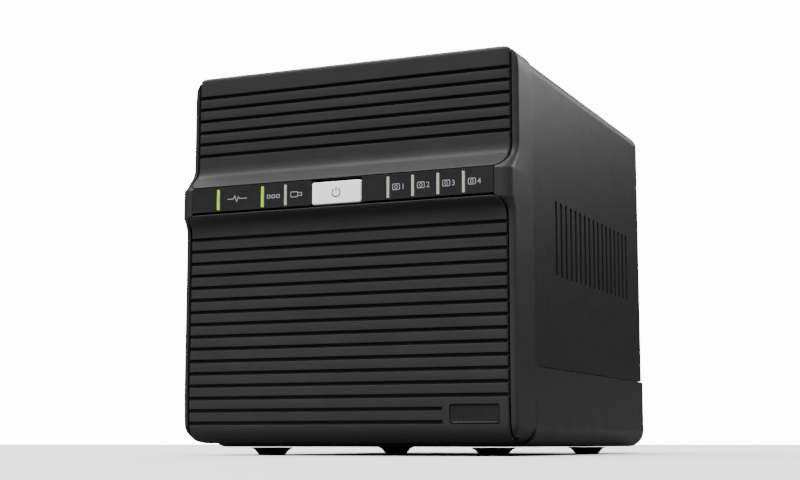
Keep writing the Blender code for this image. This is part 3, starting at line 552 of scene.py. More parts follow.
def side_edge(z):
    """Radius between the front and the side, which grows where the band stands out."""
    face = UPPER_FACE if z > BAND_MIDDLE else LOWER_FACE
    share = min(max(face - front_depth(z), 0.0) / (face - FRONT), 1.0)
    return SIDE_EDGE + (BAND_EDGE - SIDE_EDGE) * share * share * (3 - 2 * share)


def front_heights(coarse=0.004, fine=0.0007):
    """Heights of the front's sections: close together where it curves."""
    heights = []
    z = FRAME_LOW
    while z < TOP:
        heights.append(z)
        curved = z < FRAME_LOW + BOTTOM_EDGE or FLARE_ZONE[0] < z < FLARE_ZONE[1] or z > TOP - TOP_CORNER
        z += fine if curved else coarse
    for part in (0.2, 0.1, 0.05, 0.02, 0.0):
        heights.append(TOP - TOP_EDGE * part)
        heights.append(FRAME_LOW + BOTTOM_EDGE * part * 0.4)
    return sorted(set(round(h, 7) for h in heights))


def add_front_body(bm, back, setback=0.0):
    """The front's solid form, lofted through level sections that are rounded into the sides."""
    rings = []
    for z in front_heights():
        half = front_half_width(z)
        radius = side_edge(z)
        face = front_depth(z) + setback
        left = arc((radius - half, face + radius), radius, 180, 270, 10)
        right = arc((half - radius, face + radius), radius, 270, 360, 10)
        section = [(-half, back)] + left + right + [(half, back)]
        rings.append([(x, y, z) for x, y in section])
    return add_loft(bm, rings)


def make_front_frame(material):
    """The moulded ring, with its openings for the two plates, the band, the button and the guides."""
    thing = to_object("front_ring", add_front_body(bmesh.new(), FRAME_BACK, RIM_STEP))
    opening = PANEL_HALF + PANEL_GAP
    corner = PANEL_CORNER + PANEL_GAP
    inner_top = TOP - PANEL_WALL
    inner_low = FRAME_LOW + PANEL_WALL
    upper = rounded(-opening, opening, STRIP_HIGH + SEAM_ABOVE - GAP, inner_top, corner, RIM_CORNER, 8)
    lower = rounded(-opening, opening, inner_low, STRIP_LOW - SEAM_BELOW + GAP, RIM_CORNER, corner, 8)
    boolean(thing, add_plate(bmesh.new(), upper, Y, BEFORE, BRIDGE[0]))
    boolean(thing, add_plate(bmesh.new(), lower, Y, BEFORE, BRIDGE[0]))
    end = STRIP_END + GAP
    back = BRIDGE[0] - 0.001
    # the band, the hollows behind the plates, the room behind the bridge, and the two rims
    for low, high in (
        ((-end, BEFORE, BAND_LOW), (end, BRIDGE[0], BRIDGE_HIGH)),
        ((-opening, back, BRIDGE_HIGH), (opening, BEHIND, inner_top)),
        ((-opening, back, inner_low), (opening, BEHIND, BRIDGE_LOW)),
        ((-opening, BRIDGE[1], BRIDGE_LOW - 0.0005), (opening, BEHIND, BRIDGE_HIGH + 0.001)),
        ((-opening, BEFORE, 0.17), (opening, UPPER_FACE + UPPER_RIM, 0.20)),
        ((-opening, BEFORE, 0.0), (opening, LOWER_FACE + LOWER_RIM, 0.02)),
    ):
        boolean(thing, add_box(bmesh.new(), low, high))
    holes = add_rod(bmesh.new(), (0, back, BAND_MIDDLE), 0.005, BUTTON_HOLE)
    for name in LIGHTS:
        low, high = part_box(name)
        add_box(holes, (low.x - GAP, back, low.z - GAP), (high.x + GAP, BRIDGE[1] + 0.001, high.z + GAP))
    boolean(thing, holes)
    settle(thing, "chassis", material, ["front_frame"], 32)


def panel_rows(low, high, grooves):
    """Rows of a ribbed panel, as (height, depth below the face, is in a groove)."""
    lip = GROOVE_LIP
    rows = []
    taken = []
    for z in grooves:
        half = GROOVE / 2
        taken.append((z - half - lip, z + half + lip))
        for side in (-1, 1):
            for turn in (0, 30, 60, 90):
                a = math.radians(turn)
                rows.append((z + side * (half + lip - lip * math.sin(a)), lip * (1 - math.cos(a)), z))
            rows.append((z + side * (half - 0.00006), GROOVE_DEPTH - 0.0002, z))
            rows.append((z + side * (half - 0.00022), GROOVE_DEPTH, z))
    for z in front_heights(0.0022, 0.0006) + [low, high]:
        if low <= z <= high and not any(a - 0.0001 < z < b + 0.0001 for a, b in taken):
            rows.append((z, 0.0, None))
    return sorted(rows, key=lambda row: row[0])


def panel_half(z, low, high, low_corner, high_corner):
    """Half width of a panel at a height, with its own rounded corners."""
    half = min(PANEL_HALF, front_half_width(z))
    if low_corner and z < low + low_corner:
        half = PANEL_HALF - low_corner + math.sqrt(max(low_corner**2 - (low + low_corner - z) ** 2, 0))
    if high_corner and z > high - high_corner:
        half = PANEL_HALF - high_corner + math.sqrt(max(high_corner**2 - (z - high + high_corner) ** 2, 0))
    return half


def edge_drop(x, z, half, low, high, low_corner, high_corner):
    """How far the face falls back near the panel's edge: a soft chamfer at the sides, small elsewhere."""
    side = half - abs(x)
    radius = SIDE_CHAMFER
    if low_corner and z < low + low_corner and abs(x) > PANEL_HALF - low_corner:
        dx = abs(x) - PANEL_HALF + low_corner
        dz = low + low_corner - z
        reach = math.hypot(dx, dz)
        side = low_corner - reach
        radius = SIDE_CHAMFER - 0.0007 * (dz / max(reach, 1e-9))
    elif high_corner and z > high - high_corner and abs(x) > PANEL_HALF - high_corner:
        dx = abs(x) - PANEL_HALF + high_corner
        dz = z - high + high_corner
        reach = math.hypot(dx, dz)
        side = high_corner - reach
        radius = SIDE_CHAMFER - 0.0006 * (dz / max(reach, 1e-9))
    drop = 0.0
    if side < radius:
        drop = radius - math.sqrt(max(radius**2 - (radius - max(side, 0)) ** 2, 0.0))
    for distance in ([z - low] if low_corner else []) + ([high - z] if high_corner else []):
        small = LEVEL_CHAMFER
        if distance < small:
            drop = max(drop, small - math.sqrt(max(small**2 - (small - max(distance, 0)) ** 2, 0.0)))
    return drop


def make_panel(name, node, low, high, grooves, low_corner, high_corner, material, land=None):
    """A ribbed panel as one closed shell. Where land is given, the low grooves end at that X."""
    offsets = (0.0, 0.00004, 0.00012, 0.00026, 0.00045, 0.0007, 0.00095, 0.0012, 0.0020, 0.0040)
    rows = panel_rows(low, high, grooves)
    shares = (0.1, 0.35, 0.7, 1.0)
    extra = [low + LEVEL_CHAMFER * share for share in shares] if low_corner else []
    extra += [high - LEVEL_CHAMFER * share for share in shares] if high_corner else []
    rows = sorted(rows + [(z, 0.0, None) for z in extra], key=lambda row: row[0])
    bm = bmesh.new()
    fronts, backs = [], []
    for z, cut, groove in rows:
        half = panel_half(z, low, high, low_corner, high_corner)
        xs = [-half + o for o in offsets] + [-0.06, -0.03, 0.0, 0.03]
        if land:
            xs += [land[0] - 0.0004, land[0], land[0] + 0.0003]
        else:
            xs.append(0.06)
        xs += [half - o for o in reversed(offsets)]
        front, back = [], []
        for x in xs:
            depth = cut
            if land and groove is not None and groove < land[1] and x > land[0] - 0.0002:
                depth = 0.0
            drop = edge_drop(x, z, half, low, high, low_corner, high_corner)
            face = front_depth(z)
            front.append(bm.verts.new((x, face + max(depth, drop), z)))
            back.append(bm.verts.new((x, face + PANEL_WALL, z)))
        fronts.append(front)
        backs.append(back)
    count = len(fronts[0])
    for grid in (fronts, backs):
        for lower, upper in zip(grid, grid[1:]):
            for k in range(count - 1):
                bm.faces.new((lower[k], lower[k + 1], upper[k + 1], upper[k]))
    for k in range(count - 1):
        bm.faces.new((fronts[0][k], fronts[0][k + 1], backs[0][k + 1], backs[0][k]))
        bm.faces.new((fronts[-1][k], fronts[-1][k + 1], backs[-1][k + 1], backs[-1][k]))
    for j in range(len(rows) - 1):
        for k in (0, count - 1):
            bm.faces.new((fronts[j][k], fronts[j + 1][k], backs[j + 1][k], backs[j][k]))
    thing = to_object(name, bm)
    return settle(thing, "chassis", material, [node], 40)


def make_front():
    """The ring, the two ribbed plates in it, and the badge in the lower one."""
    plastic = surfaces["shell"]
    make_front_frame(plastic)
    low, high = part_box("upper_panel")
    make_panel("upper_ribs", "upper_panel", low.z, high.z, UPPER_GROOVES, PANEL_CORNER, 0, plastic)
    low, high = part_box("lower_panel")
    badge_low, badge_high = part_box("badge_plate")
    panel = make_panel(
        "lower_ribs", "lower_panel", low.z, high.z, LOWER_GROOVES, 0, PANEL_CORNER, plastic,
        land=(BADGE_LAND, badge_high.z),
    )
    around = rounded(
        badge_low.x - GAP, badge_high.x + GAP, badge_low.z - GAP, badge_high.z + GAP, 0.001, 0.001
    )
    boolean(panel, add_plate(bmesh.new(), around, Y, BEFORE, badge_high.y + GAP))
    smooth(panel, 40)
    make_badge(badge_low, badge_high)


def make_badge(low, high):
    """A blank plate with a raised rim."""
    rim = 0.0007
    outline = rounded(low.x, high.x, low.z, high.z, 0.0008, 0.0008)
    plate = add_plate(bmesh.new(), outline, Y, low.y, high.y)
    middle = rounded(low.x + rim, high.x - rim, low.z + rim, high.z - rim, 0.0004, 0.0004)
    thing = piece("badge_blank", plate, "chassis", "badge", ["badge_plate"], edges=0.00012)
    boolean(thing, add_plate(bmesh.new(), middle, Y, low.y - 0.001, low.y + 0.00015))
    smooth(thing)


def digit_mesh(text, left, low, height):
    """One digit, standing up and facing the front."""
    half = 0.00012
    curve = bpy.data.curves.new("digit", "FONT")
    curve.body = text
    curve.size = height * 1.40
    curve.extrude = half
    curve.resolution_u = 6
    thing = bpy.data.objects.new("digit", curve)
    bpy.context.scene.collection.objects.link(thing)
    bpy.context.view_layer.update()
    mesh = bpy.data.meshes.new_from_object(thing.evaluated_get(bpy.context.evaluated_depsgraph_get()))
    place = Matrix.Translation((left, LEGEND[0] + half, low))
    mesh.transform(place @ Matrix.Rotation(math.pi / 2, 4, "X"))
    bpy.data.objects.remove(thing)
    bpy.data.curves.remove(curve)
    return mesh


def make_legends():
    """Small generic symbols beside the light guides, a little proud of the lens."""
    strokes = bmesh.new()
    line = 0.00038
    near, far = LEGEND
    base = BAND_MIDDLE - 0.0013

    def at(name, shift):
        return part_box(name)[1].x + shift

    x = at("status_light", 0.0044)
    pulse = [(0, 0), (3.2, 0), (4.0, 1.4), (5.0, -1.4), (5.9, 0.9), (6.5, 0), (10.6, 0)]
    add_ribbon(strokes, [(x + 0.001 * a, BAND_MIDDLE + 0.001 * b) for a, b in pulse], line, near, far)
    x = at("lan_light", 0.0020)
    for k in range(3):
        square = rounded(x + 0.0025 * k, x + 0.0025 * k + 0.0014, base + 0.0004, base + 0.0018)
        add_ribbon(strokes, square, line, near, far, closed=True)
        if k:
            link = [(x + 0.0025 * k - 0.0009, base + 0.0011), (x + 0.0025 * k - 0.0002, base + 0.0011)]
            add_ribbon(strokes, link, line, near, far)
    x = at("usb_light", 0.0022)
    plug = rounded(x, x + 0.0036, base + 0.0001, base + 0.0025, 0.0005, 0.0005, 3)
    add_ribbon(strokes, plug, line, near, far, closed=True)
    tip = [(x + 0.0038, base + 0.0006), (x + 0.0057, base + 0.0006), (x + 0.0057, base + 0.0020)]
    add_ribbon(strokes, tip + [(x + 0.0038, base + 0.0020)], line, near, far)
    for bay in range(1, 5):
        x = at(f"disk_light_{bay}", 0.0017)
        case = rounded(x, x + 0.0034, base, base + 0.0026, 0.0004, 0.0004, 3)
        add_ribbon(strokes, case, line, near, far, closed=True)
        ring = arc((x + 0.0017, base + 0.0013), 0.0007, 0, 330, 11)
        add_ribbon(strokes, ring, line * 0.8, near, far, closed=True)
        mesh = digit_mesh(str(bay), x + 0.0042, base, 0.0026)
        strokes.from_mesh(mesh)
        bpy.data.meshes.remove(mesh)
    piece("legends", strokes, "chassis", "button", material=surfaces["ink"])


def make_button():
    """A satin cap with rounded edges and the usual broken ring and bar, which sits on its own stem."""
    low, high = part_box("power_button")
    rings = []
    edge = 0.0006
    face = FRONT + 0.00006
    cap_back = -0.1112
    for a in range(0, 91, 15):
        inset = edge * (1 - math.sin(math.radians(a)))
        y = face + edge * (1 - math.cos(math.radians(a)))
        outline = rounded(low.x + inset, high.x - inset, low.z + inset, high.z - inset, 0.0009, 0.0009, 5)
        rings.append([(px, y, pz) for px, pz in outline])
    outline = rounded(low.x, high.x, low.z, high.z, 0.0009, 0.0009, 5)
    rings.append([(px, cap_back, pz) for px, pz in outline])
    cap = add_loft(bmesh.new(), rings)
    thing = piece("button_cap", cap, "power_button_body", "button", ["power_button"])
    middle = (low.z + high.z) / 2
    inside = cap_back - 0.001
    stem = [(0, high.y), (0.0017, high.y), (0.0020, high.y - 0.0003), (0.0020, inside), (0, inside)]
    boolean(thing, add_turned(bmesh.new(), (0, 0, BAND_MIDDLE), stem, Y), "UNION")
    smooth(thing)
    mark = bmesh.new()
    add_ribbon(mark, arc((0, middle), 0.0020, 125, 415, 26), 0.0005, FRONT, face + 0.0004)
    add_ribbon(mark, [(0, middle + 0.0004), (0, middle + 0.0027)], 0.0005, FRONT, face + 0.0004)
    piece("button_mark", mark, "power_button_body", "black", material=surfaces["mark"])


def make_band():
    """The strips, the light guides, the symbols and the button between them."""
    for node in ("indicator_strip_left", "indicator_strip_right"):
        softened(node, 0.00025, 3)
    for node in LIGHTS:
        softened(node, 0.00020, 3)
    make_legends()
    make_button()


# ---------------------------------------------------------------- shell


def ear(offset=0.0):
    """Outline of the fillet that rises from the tub's side to the front."""
    corner = (SHELL_FRONT + TUB_EAR, TUB_TOP + TUB_EAR)
    return arc(corner, TUB_EAR - offset, 180, 270, 14)


def make_cover():
    """The folded cover, with a row of slots in each side."""
    low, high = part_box("top_cover")
    half, top = high.x, high.z
    radius = TOP_CORNER - COVER_STEP
    outline = [(half, low.z)] + arc((half - radius, top - radius), radius, 0, 90, 14)
    outline += [(-x, z) for x, z in reversed(outline)]
    inner = [(half - COVER_WALL, low.z)]
    inner += arc((half - radius, top - radius), radius - COVER_WALL, 0, 90, 14)
    inner += [(-x, z) for x, z in reversed(inner)]
    thing = to_object("cover_fine", add_plate(bmesh.new(), outline + inner[::-1], Y, low.y, high.y))
    seam = low.z - TUB_TOP
    corner = ear(seam) + [(SHELL_FRONT + TUB_EAR, 0.03), (SHELL_FRONT - 0.01, 0.03)]
    corner += [(SHELL_FRONT - 0.01, TUB_TOP + TUB_EAR)]
    boolean(thing, add_plate(bmesh.new(), corner, X, -BESIDE, BESIDE))
    slots = bmesh.new()
    for k in range(VENTS):
        y = VENT_START + VENT_PITCH * k
        end = VENT_WIDTH * 0.4967
        slot = rounded(y, y + VENT_WIDTH, *VENT_REACH, end, end, 6)
        for side in (-HALF, HALF):
            add_plate(slots, slot, X, side - PASSES, side + PASSES)
    boolean(thing, slots)
    clean(thing)
    ease_edges(thing, 0.00030, 2, 50)
    settle(thing, "chassis", surfaces["cover"], ["top_cover"], 40)
    weigh(thing)


def make_tub():
    """The base, with its low sides, the fillets that rise to the front, and slots in its floor."""
    low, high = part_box("base_tub")
    radius = TUB_CORNER
    inner = HALF - TUB_WALL
    inside = radius - TUB_WALL
    outline = arc((HALF - radius, low.z + radius), radius, 270, 360, 14)
    outline += [(HALF, high.z), (inner, high.z)]
    outline += arc((inner - inside, low.z + TUB_FLOOR + inside), inside, 360, 270, 14)
    outline += [(-x, z) for x, z in reversed(outline)]
    thing = to_object("tub_fine", add_plate(bmesh.new(), outline, Y, low.y, high.y))
    above = ear() + [(0.15, TUB_TOP), (0.15, 0.09), (SHELL_FRONT, 0.09)]
    boolean(thing, add_plate(bmesh.new(), above, X, -BESIDE, BESIDE))
    slots = bmesh.new()
    for k in range(FLOOR_SLOTS):
        x = FLOOR_SLOT_PITCH * (k - FLOOR_SLOTS // 2)
        slot = rounded(x - VENT_WIDTH / 2, x + VENT_WIDTH / 2, *FLOOR_SLOT_REACH, 0.00149, 0.00149, 6)
        add_plate(slots, slot, Z, 0.0, PASSES)
    boolean(thing, slots)
    clean(thing)
    ease_edges(thing, 0.00030, 2, 50)
    settle(thing, "chassis", surfaces["shell"], ["base_tub"], 40)
    weigh(thing)


def make_feet():
    """Moulded rubber feet, hollow under the middle, with a rounded rim and a thin flange."""
    for end in ("front", "rear"):
        for side in ("left", "right"):
            node = f"foot_{end}_{side}"
            low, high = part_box(node)
            centre = ((low.x + high.x) / 2, (low.y + high.y) / 2, 0)
            top = high.z
            profile = [(0, 0.0012), (0.0034, 0.0012), (0.0040, 0.0004), (0.0044, 0.0)]
            profile += [(0.0061, 0.0), (0.0066, 0.0003), (0.0069, 0.0008)]
            profile += [(0.0088, 0.0028), (0.0096, 0.0030), (0.0100, 0.0033), (0.0100, top), (0, top)]
            foot = add_turned(bmesh.new(), centre, profile)
            piece(node + "_turned", foot, "chassis", "rubber", [node], 30)


# ---------------------------------------------------------------- rear


def add_screw(bm, x, z, face, radius=0.0029):
    """A pan head on a face that looks to the back, with a cross in it."""
    head = [(radius, 0), (radius, 0.0005)] + round_edge(radius, 0.0013, 0.0008)[1:]
    add_turned(bm, (x, face, z), [(0, 0)] + head + [(0, 0.0013)], Y, 28)


def cross(thing, x, z, face, reach=0.0016, half=0.0003):
    """A cross cut into a screw's head."""
    for wide, tall in ((reach, half), (half, reach)):
        end = (x + wide, face + PASSES, z + tall)
        boolean(thing, add_box(bmesh.new(), (x - wide, face, z - tall), end))


def screws(name, places, face, body):
    """A group of screws on one face, as one piece."""
    bm = bmesh.new()
    for x, z in places:
        add_screw(bm, x, z, face)
    thing = piece(name, bm, body, "steel", material=surfaces["screw"])
    for x, z in places:
        cross(thing, x, z, face + 0.0006)
    smooth(thing, 30)


def make_thumb_screw(side):
    """A knurled head with chamfered rims and a slot, on its shank."""
    node = f"thumb_screw_{side}"
    low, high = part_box(node)
    x, z = (low.x + high.x) / 2, (low.z + high.z) / 2
    radius = (high.x - low.x) / 2
    face = DOOR_FACE + GAP
    teeth = 36
    rings = []
    rims = [(face, 0.0006), (face + 0.0003, 0.0), (high.y - 0.0005, 0.0), (high.y - 0.0001, 0.0004)]
    for y, shrink in rims + [(high.y, 0.0007)]:
        ring = []
        for k in range(teeth * 4):
            depth = (0.0, 0.0, 0.00022, 0.00022)[k % 4]
            a = math.tau * k / (teeth * 4)
            r = radius - shrink - depth
            ring.append((x + r * math.cos(a), y, z + r * math.sin(a)))
        rings.append(ring)
    thing = to_object(node + "_knurled", add_loft(bmesh.new(), rings))
    inside = face + 0.001
    shank = [(0, low.y), (0.0011, low.y), (0.00175, low.y + 0.0007), (0.00175, inside), (0, inside)]
    boolean(thing, add_turned(bmesh.new(), (x, 0, z), shank, Y, 32), "UNION")
    half = 0.0006
    slot = ((x - 0.006, high.y - 0.0012, z - half), (x + 0.006, high.y + PASSES, z + half))
    boolean(thing, add_box(bmesh.new(), *slot))
    settle(thing, BODY_OF[node], surfaces["screw"], [node], 25)


def blade_ring(share, turn, middle, z, steps=8):
    """A blade's section at a share of its length: an arched strip with thin edges, on a cylinder."""
    root = HUB - 0.0010
    r = root + (BLADE_TIP - root) * share
    pitch = math.radians(52 - 22 * share)
    half = 0.0085 + 0.0034 * share
    turn += math.radians(10) * share  # a lean that grows towards the tip
    ring = []
    for side in (1, -1):
        for j in range(steps + 1):
            s = side * (-1 + 2 * j / steps)
            thick = 0.00055 * side * math.sqrt(max(1 - s**4, 0.0)) + 0.00005 * side
            camber = 0.0009 * (1 - s * s)
            lift = thick + camber
            across = half * s * math.cos(pitch) + lift * math.sin(pitch)
            deep = half * s * math.sin(pitch) - lift * math.cos(pitch)
            a = turn + across / r
            ring.append((FAN_MIDDLE + r * math.cos(a), middle + deep, z + r * math.sin(a)))
    return ring


def make_rotor(place):
    """A hub with a rounded cap, and thin, cambered blades."""
    node = f"fan_rotor_{place}"
    z = FAN_HEIGHTS[place]
    back = FAN_BACK - 0.0045
    front = back - 0.0195
    bm = bmesh.new()
    profile = [(0, front + 0.0008), (HUB - 0.0020, front + 0.0008)]
    profile += [(HUB - 0.0010, front), (HUB, front + 0.0010)] + round_edge(HUB, back, 0.0012) + [(0, back)]
    add_turned(bm, (FAN_MIDDLE, 0, z), profile, Y, 56)
    shaft = [(0, back - 0.001), (0.0014, back - 0.001), (0.0014, back + 0.0022)]
    shaft += [(0.0011, back + 0.0025), (0, back + 0.0025)]
    add_turned(bm, (FAN_MIDDLE, 0, z), shaft, Y, 24)
    for blade in range(BLADES):
        turn = math.tau * blade / BLADES
        add_loft(bm, [blade_ring(k / 8, turn, (front + back) / 2, z) for k in range(9)])
    piece(node + "_turned", bm, BODY_OF[node], "fan", [node], 30)


def make_sockets():
    """Tongues and contacts for the sockets, and the reset pin."""
    for node in ("usb_socket_upper", "usb_socket_lower"):
        softened(node, 0.00012, 2)
        low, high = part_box(node)
        start = (low.x + 0.0034, 0.0985, low.z + 0.0013)
        tongue = add_box(bmesh.new(), start, (low.x + 0.0056, high.y - 0.0010, high.z - 0.0013))
        piece(node.replace("socket", "tongue"), tongue, "chassis", "black", edges=0.0002)
        contacts = bmesh.new()
        for k in range(4):
            z = low.z + 0.0033 + 0.00247 * k
            end = (low.x + 0.0036, high.y - 0.0018, z + 0.0006)
            add_box(contacts, (low.x + 0.0032, 0.1000, z - 0.0006), end)
        name = node.replace("socket", "contacts")
        piece(name, contacts, "chassis", "steel", edges=0.00008, material=surfaces["gold"])
    softened("lan_socket", 0.00015, 2)
    low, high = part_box("lan_socket")
    contacts = bmesh.new()
    wire = [(0.0023, 0.0985), (0.0030, 0.0985), (0.0052, 0.1040)]
    wire += [(0.0048, 0.1042), (0.0026, 0.0992), (0.0023, 0.0992)]
    wire = [(low.x + x, y) for x, y in wire]
    for k in range(8):
        z = (low.z + high.z) / 2 + 0.00102 * (k - 3.5)
        add_plate(contacts, wire, Z, z - 0.0002, z + 0.0002)
    piece("lan_contacts", contacts, "chassis", "steel", material=surfaces["gold"])
    softened("power_socket", 0.00020, 2, 50)
    low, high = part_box("reset_button")
    pin, collar = 0.0014, 0.0026
    profile = [(0, 0), (pin, 0), (pin, 0.0019), (collar - 0.0002, 0.0019), (collar, 0.0021)]
    profile += [(collar, 0.0032), (collar - 0.0002, 0.0034), (pin, 0.0034)]
    profile = [(r, low.y + y) for r, y in profile] + round_edge(pin, high.y, 0.0005) + [(0, high.y)]
    turned = add_turned(bmesh.new(), ((low.x + high.x) / 2, 0, (low.z + high.z) / 2), profile, Y, 32)
    piece("reset_plunger", turned, "reset_button_body", "black", ["reset_button"], 30)


def make_rear():
    """The back plate, the fan door with its fans and screws, and the sockets."""
    softened("rear_frame", 0.00030, 2, 50)
    softened("fan_door", 0.00030, 2, 50)
    for side in ("left", "right"):
        make_thumb_screw(side)
    side, top = 0.0764, 0.1720
    places = [(side, top), (0.0440, top), (side, 0.0900), (0.0700, 0.0350)]
    screws("rear_screws", places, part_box("rear_frame")[1].y - 0.0001, "chassis")
    places = []
    for z in FAN_HEIGHTS.values():
        places += [(FAN_MIDDLE + a, z + b) for a in (-FAN_SCREW, FAN_SCREW) for b in (-FAN_SCREW, FAN_SCREW)]
    screws("fan_screws", places, DOOR_FACE - 0.0001, "door")
    for place in FAN_HEIGHTS:
        make_rotor(place)
        softened(f"fan_frame_{place}", 0.00040, 2, 50)
    make_sockets()


# ---------------------------------------------------------------- inside


def make_drive(bay):
    """A drive with a pressed lid and a blank label, in its tray."""
    node = f"hard_drive_{bay}"
    body = BODY_OF[node]
    softened(node, 0.00060, 3)
    softened(f"drive_tray_{bay}", 0.00035, 2)
    low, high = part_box(node)
    x = (low.x + high.x) / 2
    top = high.z
    outline = rounded(low.x + 0.004, high.x - 0.004, low.y + 0.016, high.y - 0.003, 0.006, 0.006)
    lid = add_plate(bmesh.new(), outline, Z, top - 0.0002, top + 0.0004)
    piece(f"drive_lid_{bay}", lid, body, "alloy", edges=0.0002)
    disc = [(0, 0.0006), (0.0120, 0.0006), (0.0126, 0.0003), (0.0300, 0.0003), (0.0304, 0.0006)]
    disc += [(0.0320, 0.0006), (0.0324, 0.0002), (0, 0.0002)]
    disc = [(r, top + z) for r, z in disc]
    pressing = add_turned(bmesh.new(), (x, (low.y + high.y) / 2 + 0.020, 0), disc)
    piece(f"drive_pressing_{bay}", pressing, body, "alloy")
    outline = rounded(x - 0.034, x + 0.034, low.y + 0.020, low.y + 0.050, 0.0015, 0.0015)
    label = add_plate(bmesh.new(), outline, Z, top + 0.0003, top + 0.0005)
    piece(f"drive_label_{bay}", label, body, "alloy", material=surfaces["label"])


def overlaps(one, two):
    """Whether two (y, z, y, z) boxes on the board share some room."""
    return one[0] < two[2] and two[0] < one[2] and one[1] < two[3] and two[1] < one[3]


def make_board_parts():
    """Chips and capacitors on the main board, at random where the larger parts leave room."""
    draw = random.Random(7)
    low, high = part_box("main_board")
    sink, battery = (-0.030, 0.060, 0.026, 0.116), (0.022, 0.107, 0.058, 0.143)
    ribbon, sockets = (-0.078, 0.108, -0.058, 0.136), (0.085, 0.014, 0.115, 0.160)
    taken = [sink, battery, ribbon, sockets]
    sizes = [(0.004, 0.003), (0.007, 0.007), (0.012, 0.009), (0.0025, 0.0016), (0.005, 0.0045)]
    edge, room, sunk = 0.006, 0.001, 0.0001
    chips, cans = bmesh.new(), bmesh.new()
    placed = []
    for _ in range(260):
        wide, tall = draw.choice(sizes)
        y = draw.uniform(low.y + edge, high.y - edge - wide)
        z = draw.uniform(low.z + edge, high.z - edge - tall)
        box = (y - room, z - room, y + wide + room, z + tall + room)
        if any(overlaps(box, other) for other in taken + placed):
            continue
        placed.append(box)
        rise = 0.0009 + 0.12 * min(wide, tall)
        add_box(chips, (high.x - sunk, y, z), (high.x + rise, y + wide, z + tall))
    radius, height = 0.0038, 0.0080
    profile = [(0, 0), (radius, 0), (radius, 0.0008), (radius - 0.0004, 0.0011), (radius, 0.0014)]
    profile += round_edge(radius, height, 0.0005) + [(0, height)]
    for k in range(7):
        y = -0.050 + 0.011 * (k % 4)
        z = 0.030 + 0.013 * (k // 4)
        if not any(overlaps((y - 0.005, z - 0.005, y + 0.005, z + 0.005), other) for other in taken):
            add_turned(cans, (high.x - sunk, y, z), profile, X, 28)
    piece("board_chips", chips, "chassis", "black", edges=0.0002)
    piece("board_capacitors", cans, "chassis", "alloy")


def make_inside():
    """Everything behind the shells: the cage, the boards and the drives."""
    edges = {
        "cage_left_side": 0.0002, "cage_right_side": 0.0002, "cage_top": 0.0003, "hinge_pin_left": 0.0002,
        "hinge_pin_right": 0.0002, "clock_battery": 0.0004, "heat_sink": 0.0002, "front_board": 0.0002,
        "backplane": 0.0002, "main_board": 0.0002, "power_switch": 0.0002, "processor": 0.0003,
        "reset_switch": 0.0003, "front_cable": 0.0001,
    }
    for node, width in edges.items():
        softened(node, width)
    for bay in range(1, 5):
        softened(f"drive_connector_{bay}", 0.0003)
        make_drive(bay)
    make_board_parts()


# ---------------------------------------------------------------- stage


def dim_bounce(tree, dark):
    """Lets a pale surface throw less light back, as dark cards laid beside the object would."""
    shader = tree.nodes["Principled BSDF"]
    pale = shader.inputs["Base Color"].links[0].from_socket
    seen = add(tree, "ShaderNodeLightPath")
    mix = add(tree, "ShaderNodeMix", data_type="RGBA")
    mix.inputs["A"].default_value = (*dark, 1.0)
    tree.links.new(seen.outputs["Is Camera Ray"], mix.inputs["Factor"])
    tree.links.new(pale, mix.inputs["B"])
    tree.links.new(mix.outputs["Result"], shader.inputs["Base Color"])


def make_floor():
    floor = to_object("floor", add_plate(bmesh.new(), rounded(-6, 6, -6, 6, 0.5, 0.5), Z, -0.02, 0.0))
    pale = surface("floor_pale", (0.76, 0.76, 0.76), 0.7, shift=0.01, mottle=3.0, specular=0.2)
    dim_bounce(pale.node_tree, (0.10, 0.10, 0.10))
    floor.data.materials.append(pale)


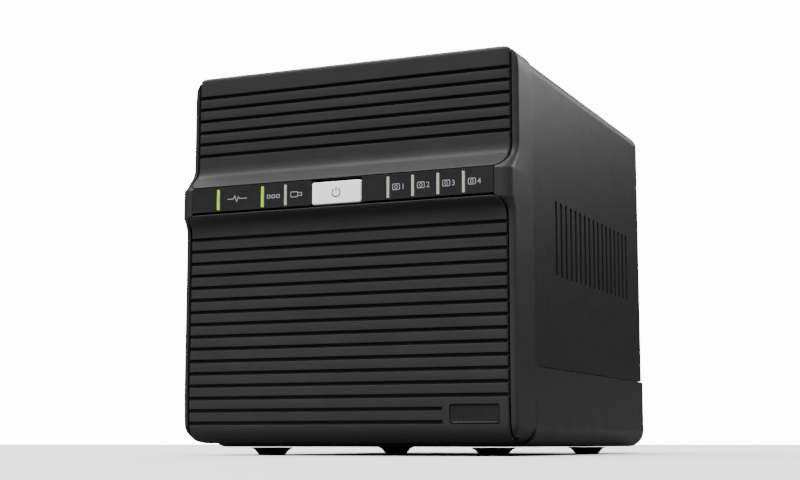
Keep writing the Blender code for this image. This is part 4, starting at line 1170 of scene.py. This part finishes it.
def make_world():
    """A white backdrop for the camera, and a much dimmer room, brighter above, that lights the object."""
    white = (1.0, 1.0, 1.0, 1.0)
    world = bpy.data.worlds.new("studio")
    bpy.context.scene.world = world
    world.use_nodes = True
    tree = world.node_tree
    room = tree.nodes["Background"]
    place = add(tree, "ShaderNodeTexCoord")
    split = add(tree, "ShaderNodeSeparateXYZ")
    tree.links.new(place.outputs["Generated"], split.inputs[0])
    room.inputs["Color"].default_value = white
    tree.links.new(spread(tree, split.outputs["Z"], 0.02, 0.12, 0.0, 1.0), room.inputs["Strength"])
    backdrop = add(tree, "ShaderNodeBackground")
    backdrop.inputs["Color"].default_value = white
    backdrop.inputs["Strength"].default_value = 14.0
    seen = add(tree, "ShaderNodeLightPath")
    mix = add(tree, "ShaderNodeMixShader")
    tree.links.new(seen.outputs["Is Camera Ray"], mix.inputs[0])
    tree.links.new(room.outputs[0], mix.inputs[1])
    tree.links.new(backdrop.outputs[0], mix.inputs[2])
    tree.links.new(mix.outputs[0], tree.nodes["World Output"].inputs["Surface"])


def area_light(name, place, target, size, power):
    data = bpy.data.lights.new(name, "AREA")
    data.shape = "RECTANGLE"
    data.size, data.size_y = size
    data.energy = power
    lamp = bpy.data.objects.new(name, data)
    lamp.location = place
    lamp.rotation_euler = (Vector(target) - Vector(place)).to_track_quat("-Z", "Y").to_euler()
    bpy.context.scene.collection.objects.link(lamp)


def far_light(name, way, strength, angle):
    """A soft light from far off, its way given as seen from the object, which lights the floor evenly."""
    data = bpy.data.lights.new(name, "SUN")
    data.energy = strength
    data.angle = math.radians(angle)
    lamp = bpy.data.objects.new(name, data)
    lamp.rotation_euler = Vector(way).to_track_quat("Z", "Y").to_euler()
    bpy.context.scene.collection.objects.link(lamp)
    return lamp


def make_lights():
    key = far_light("key", way=(0.08, -0.70, 0.80), strength=7.8, angle=50)
    key.visible_glossy = False
    far_light("top", way=(-0.20, 0.02, 0.98), strength=2.7, angle=45)
    fill = far_light("fill", way=(-0.70, 0.60, 0.40), strength=4.0, angle=60)
    fill.visible_glossy = False
    area_light("rim", place=(0.86, 1.38, 0.98), target=(0.05, 0, 0.12), size=(0.8, 0.8), power=11.5)


def make_camera():
    data = bpy.data.cameras.new("camera")
    data.sensor_width = 36.0
    data.lens = 65.97
    data.clip_start = 0.01
    camera = bpy.data.objects.new("camera", data)
    camera.location = (0.2905, -0.7120, 0.0056)
    camera.rotation_euler = (math.radians(97.9), 0.0, math.radians(23.41))
    bpy.context.scene.collection.objects.link(camera)
    bpy.context.scene.camera = camera


make_camera()
surfaces = make_surfaces()
for node, slot in SLOT_OF.items():
    thing = frame["nodes"][node]
    thing.data.materials.clear()
    thing.data.materials.append(surfaces[slot])
make_front()
make_band()
make_cover()
make_tub()
make_feet()
make_rear()
make_inside()
make_floor()
make_world()
make_lights()
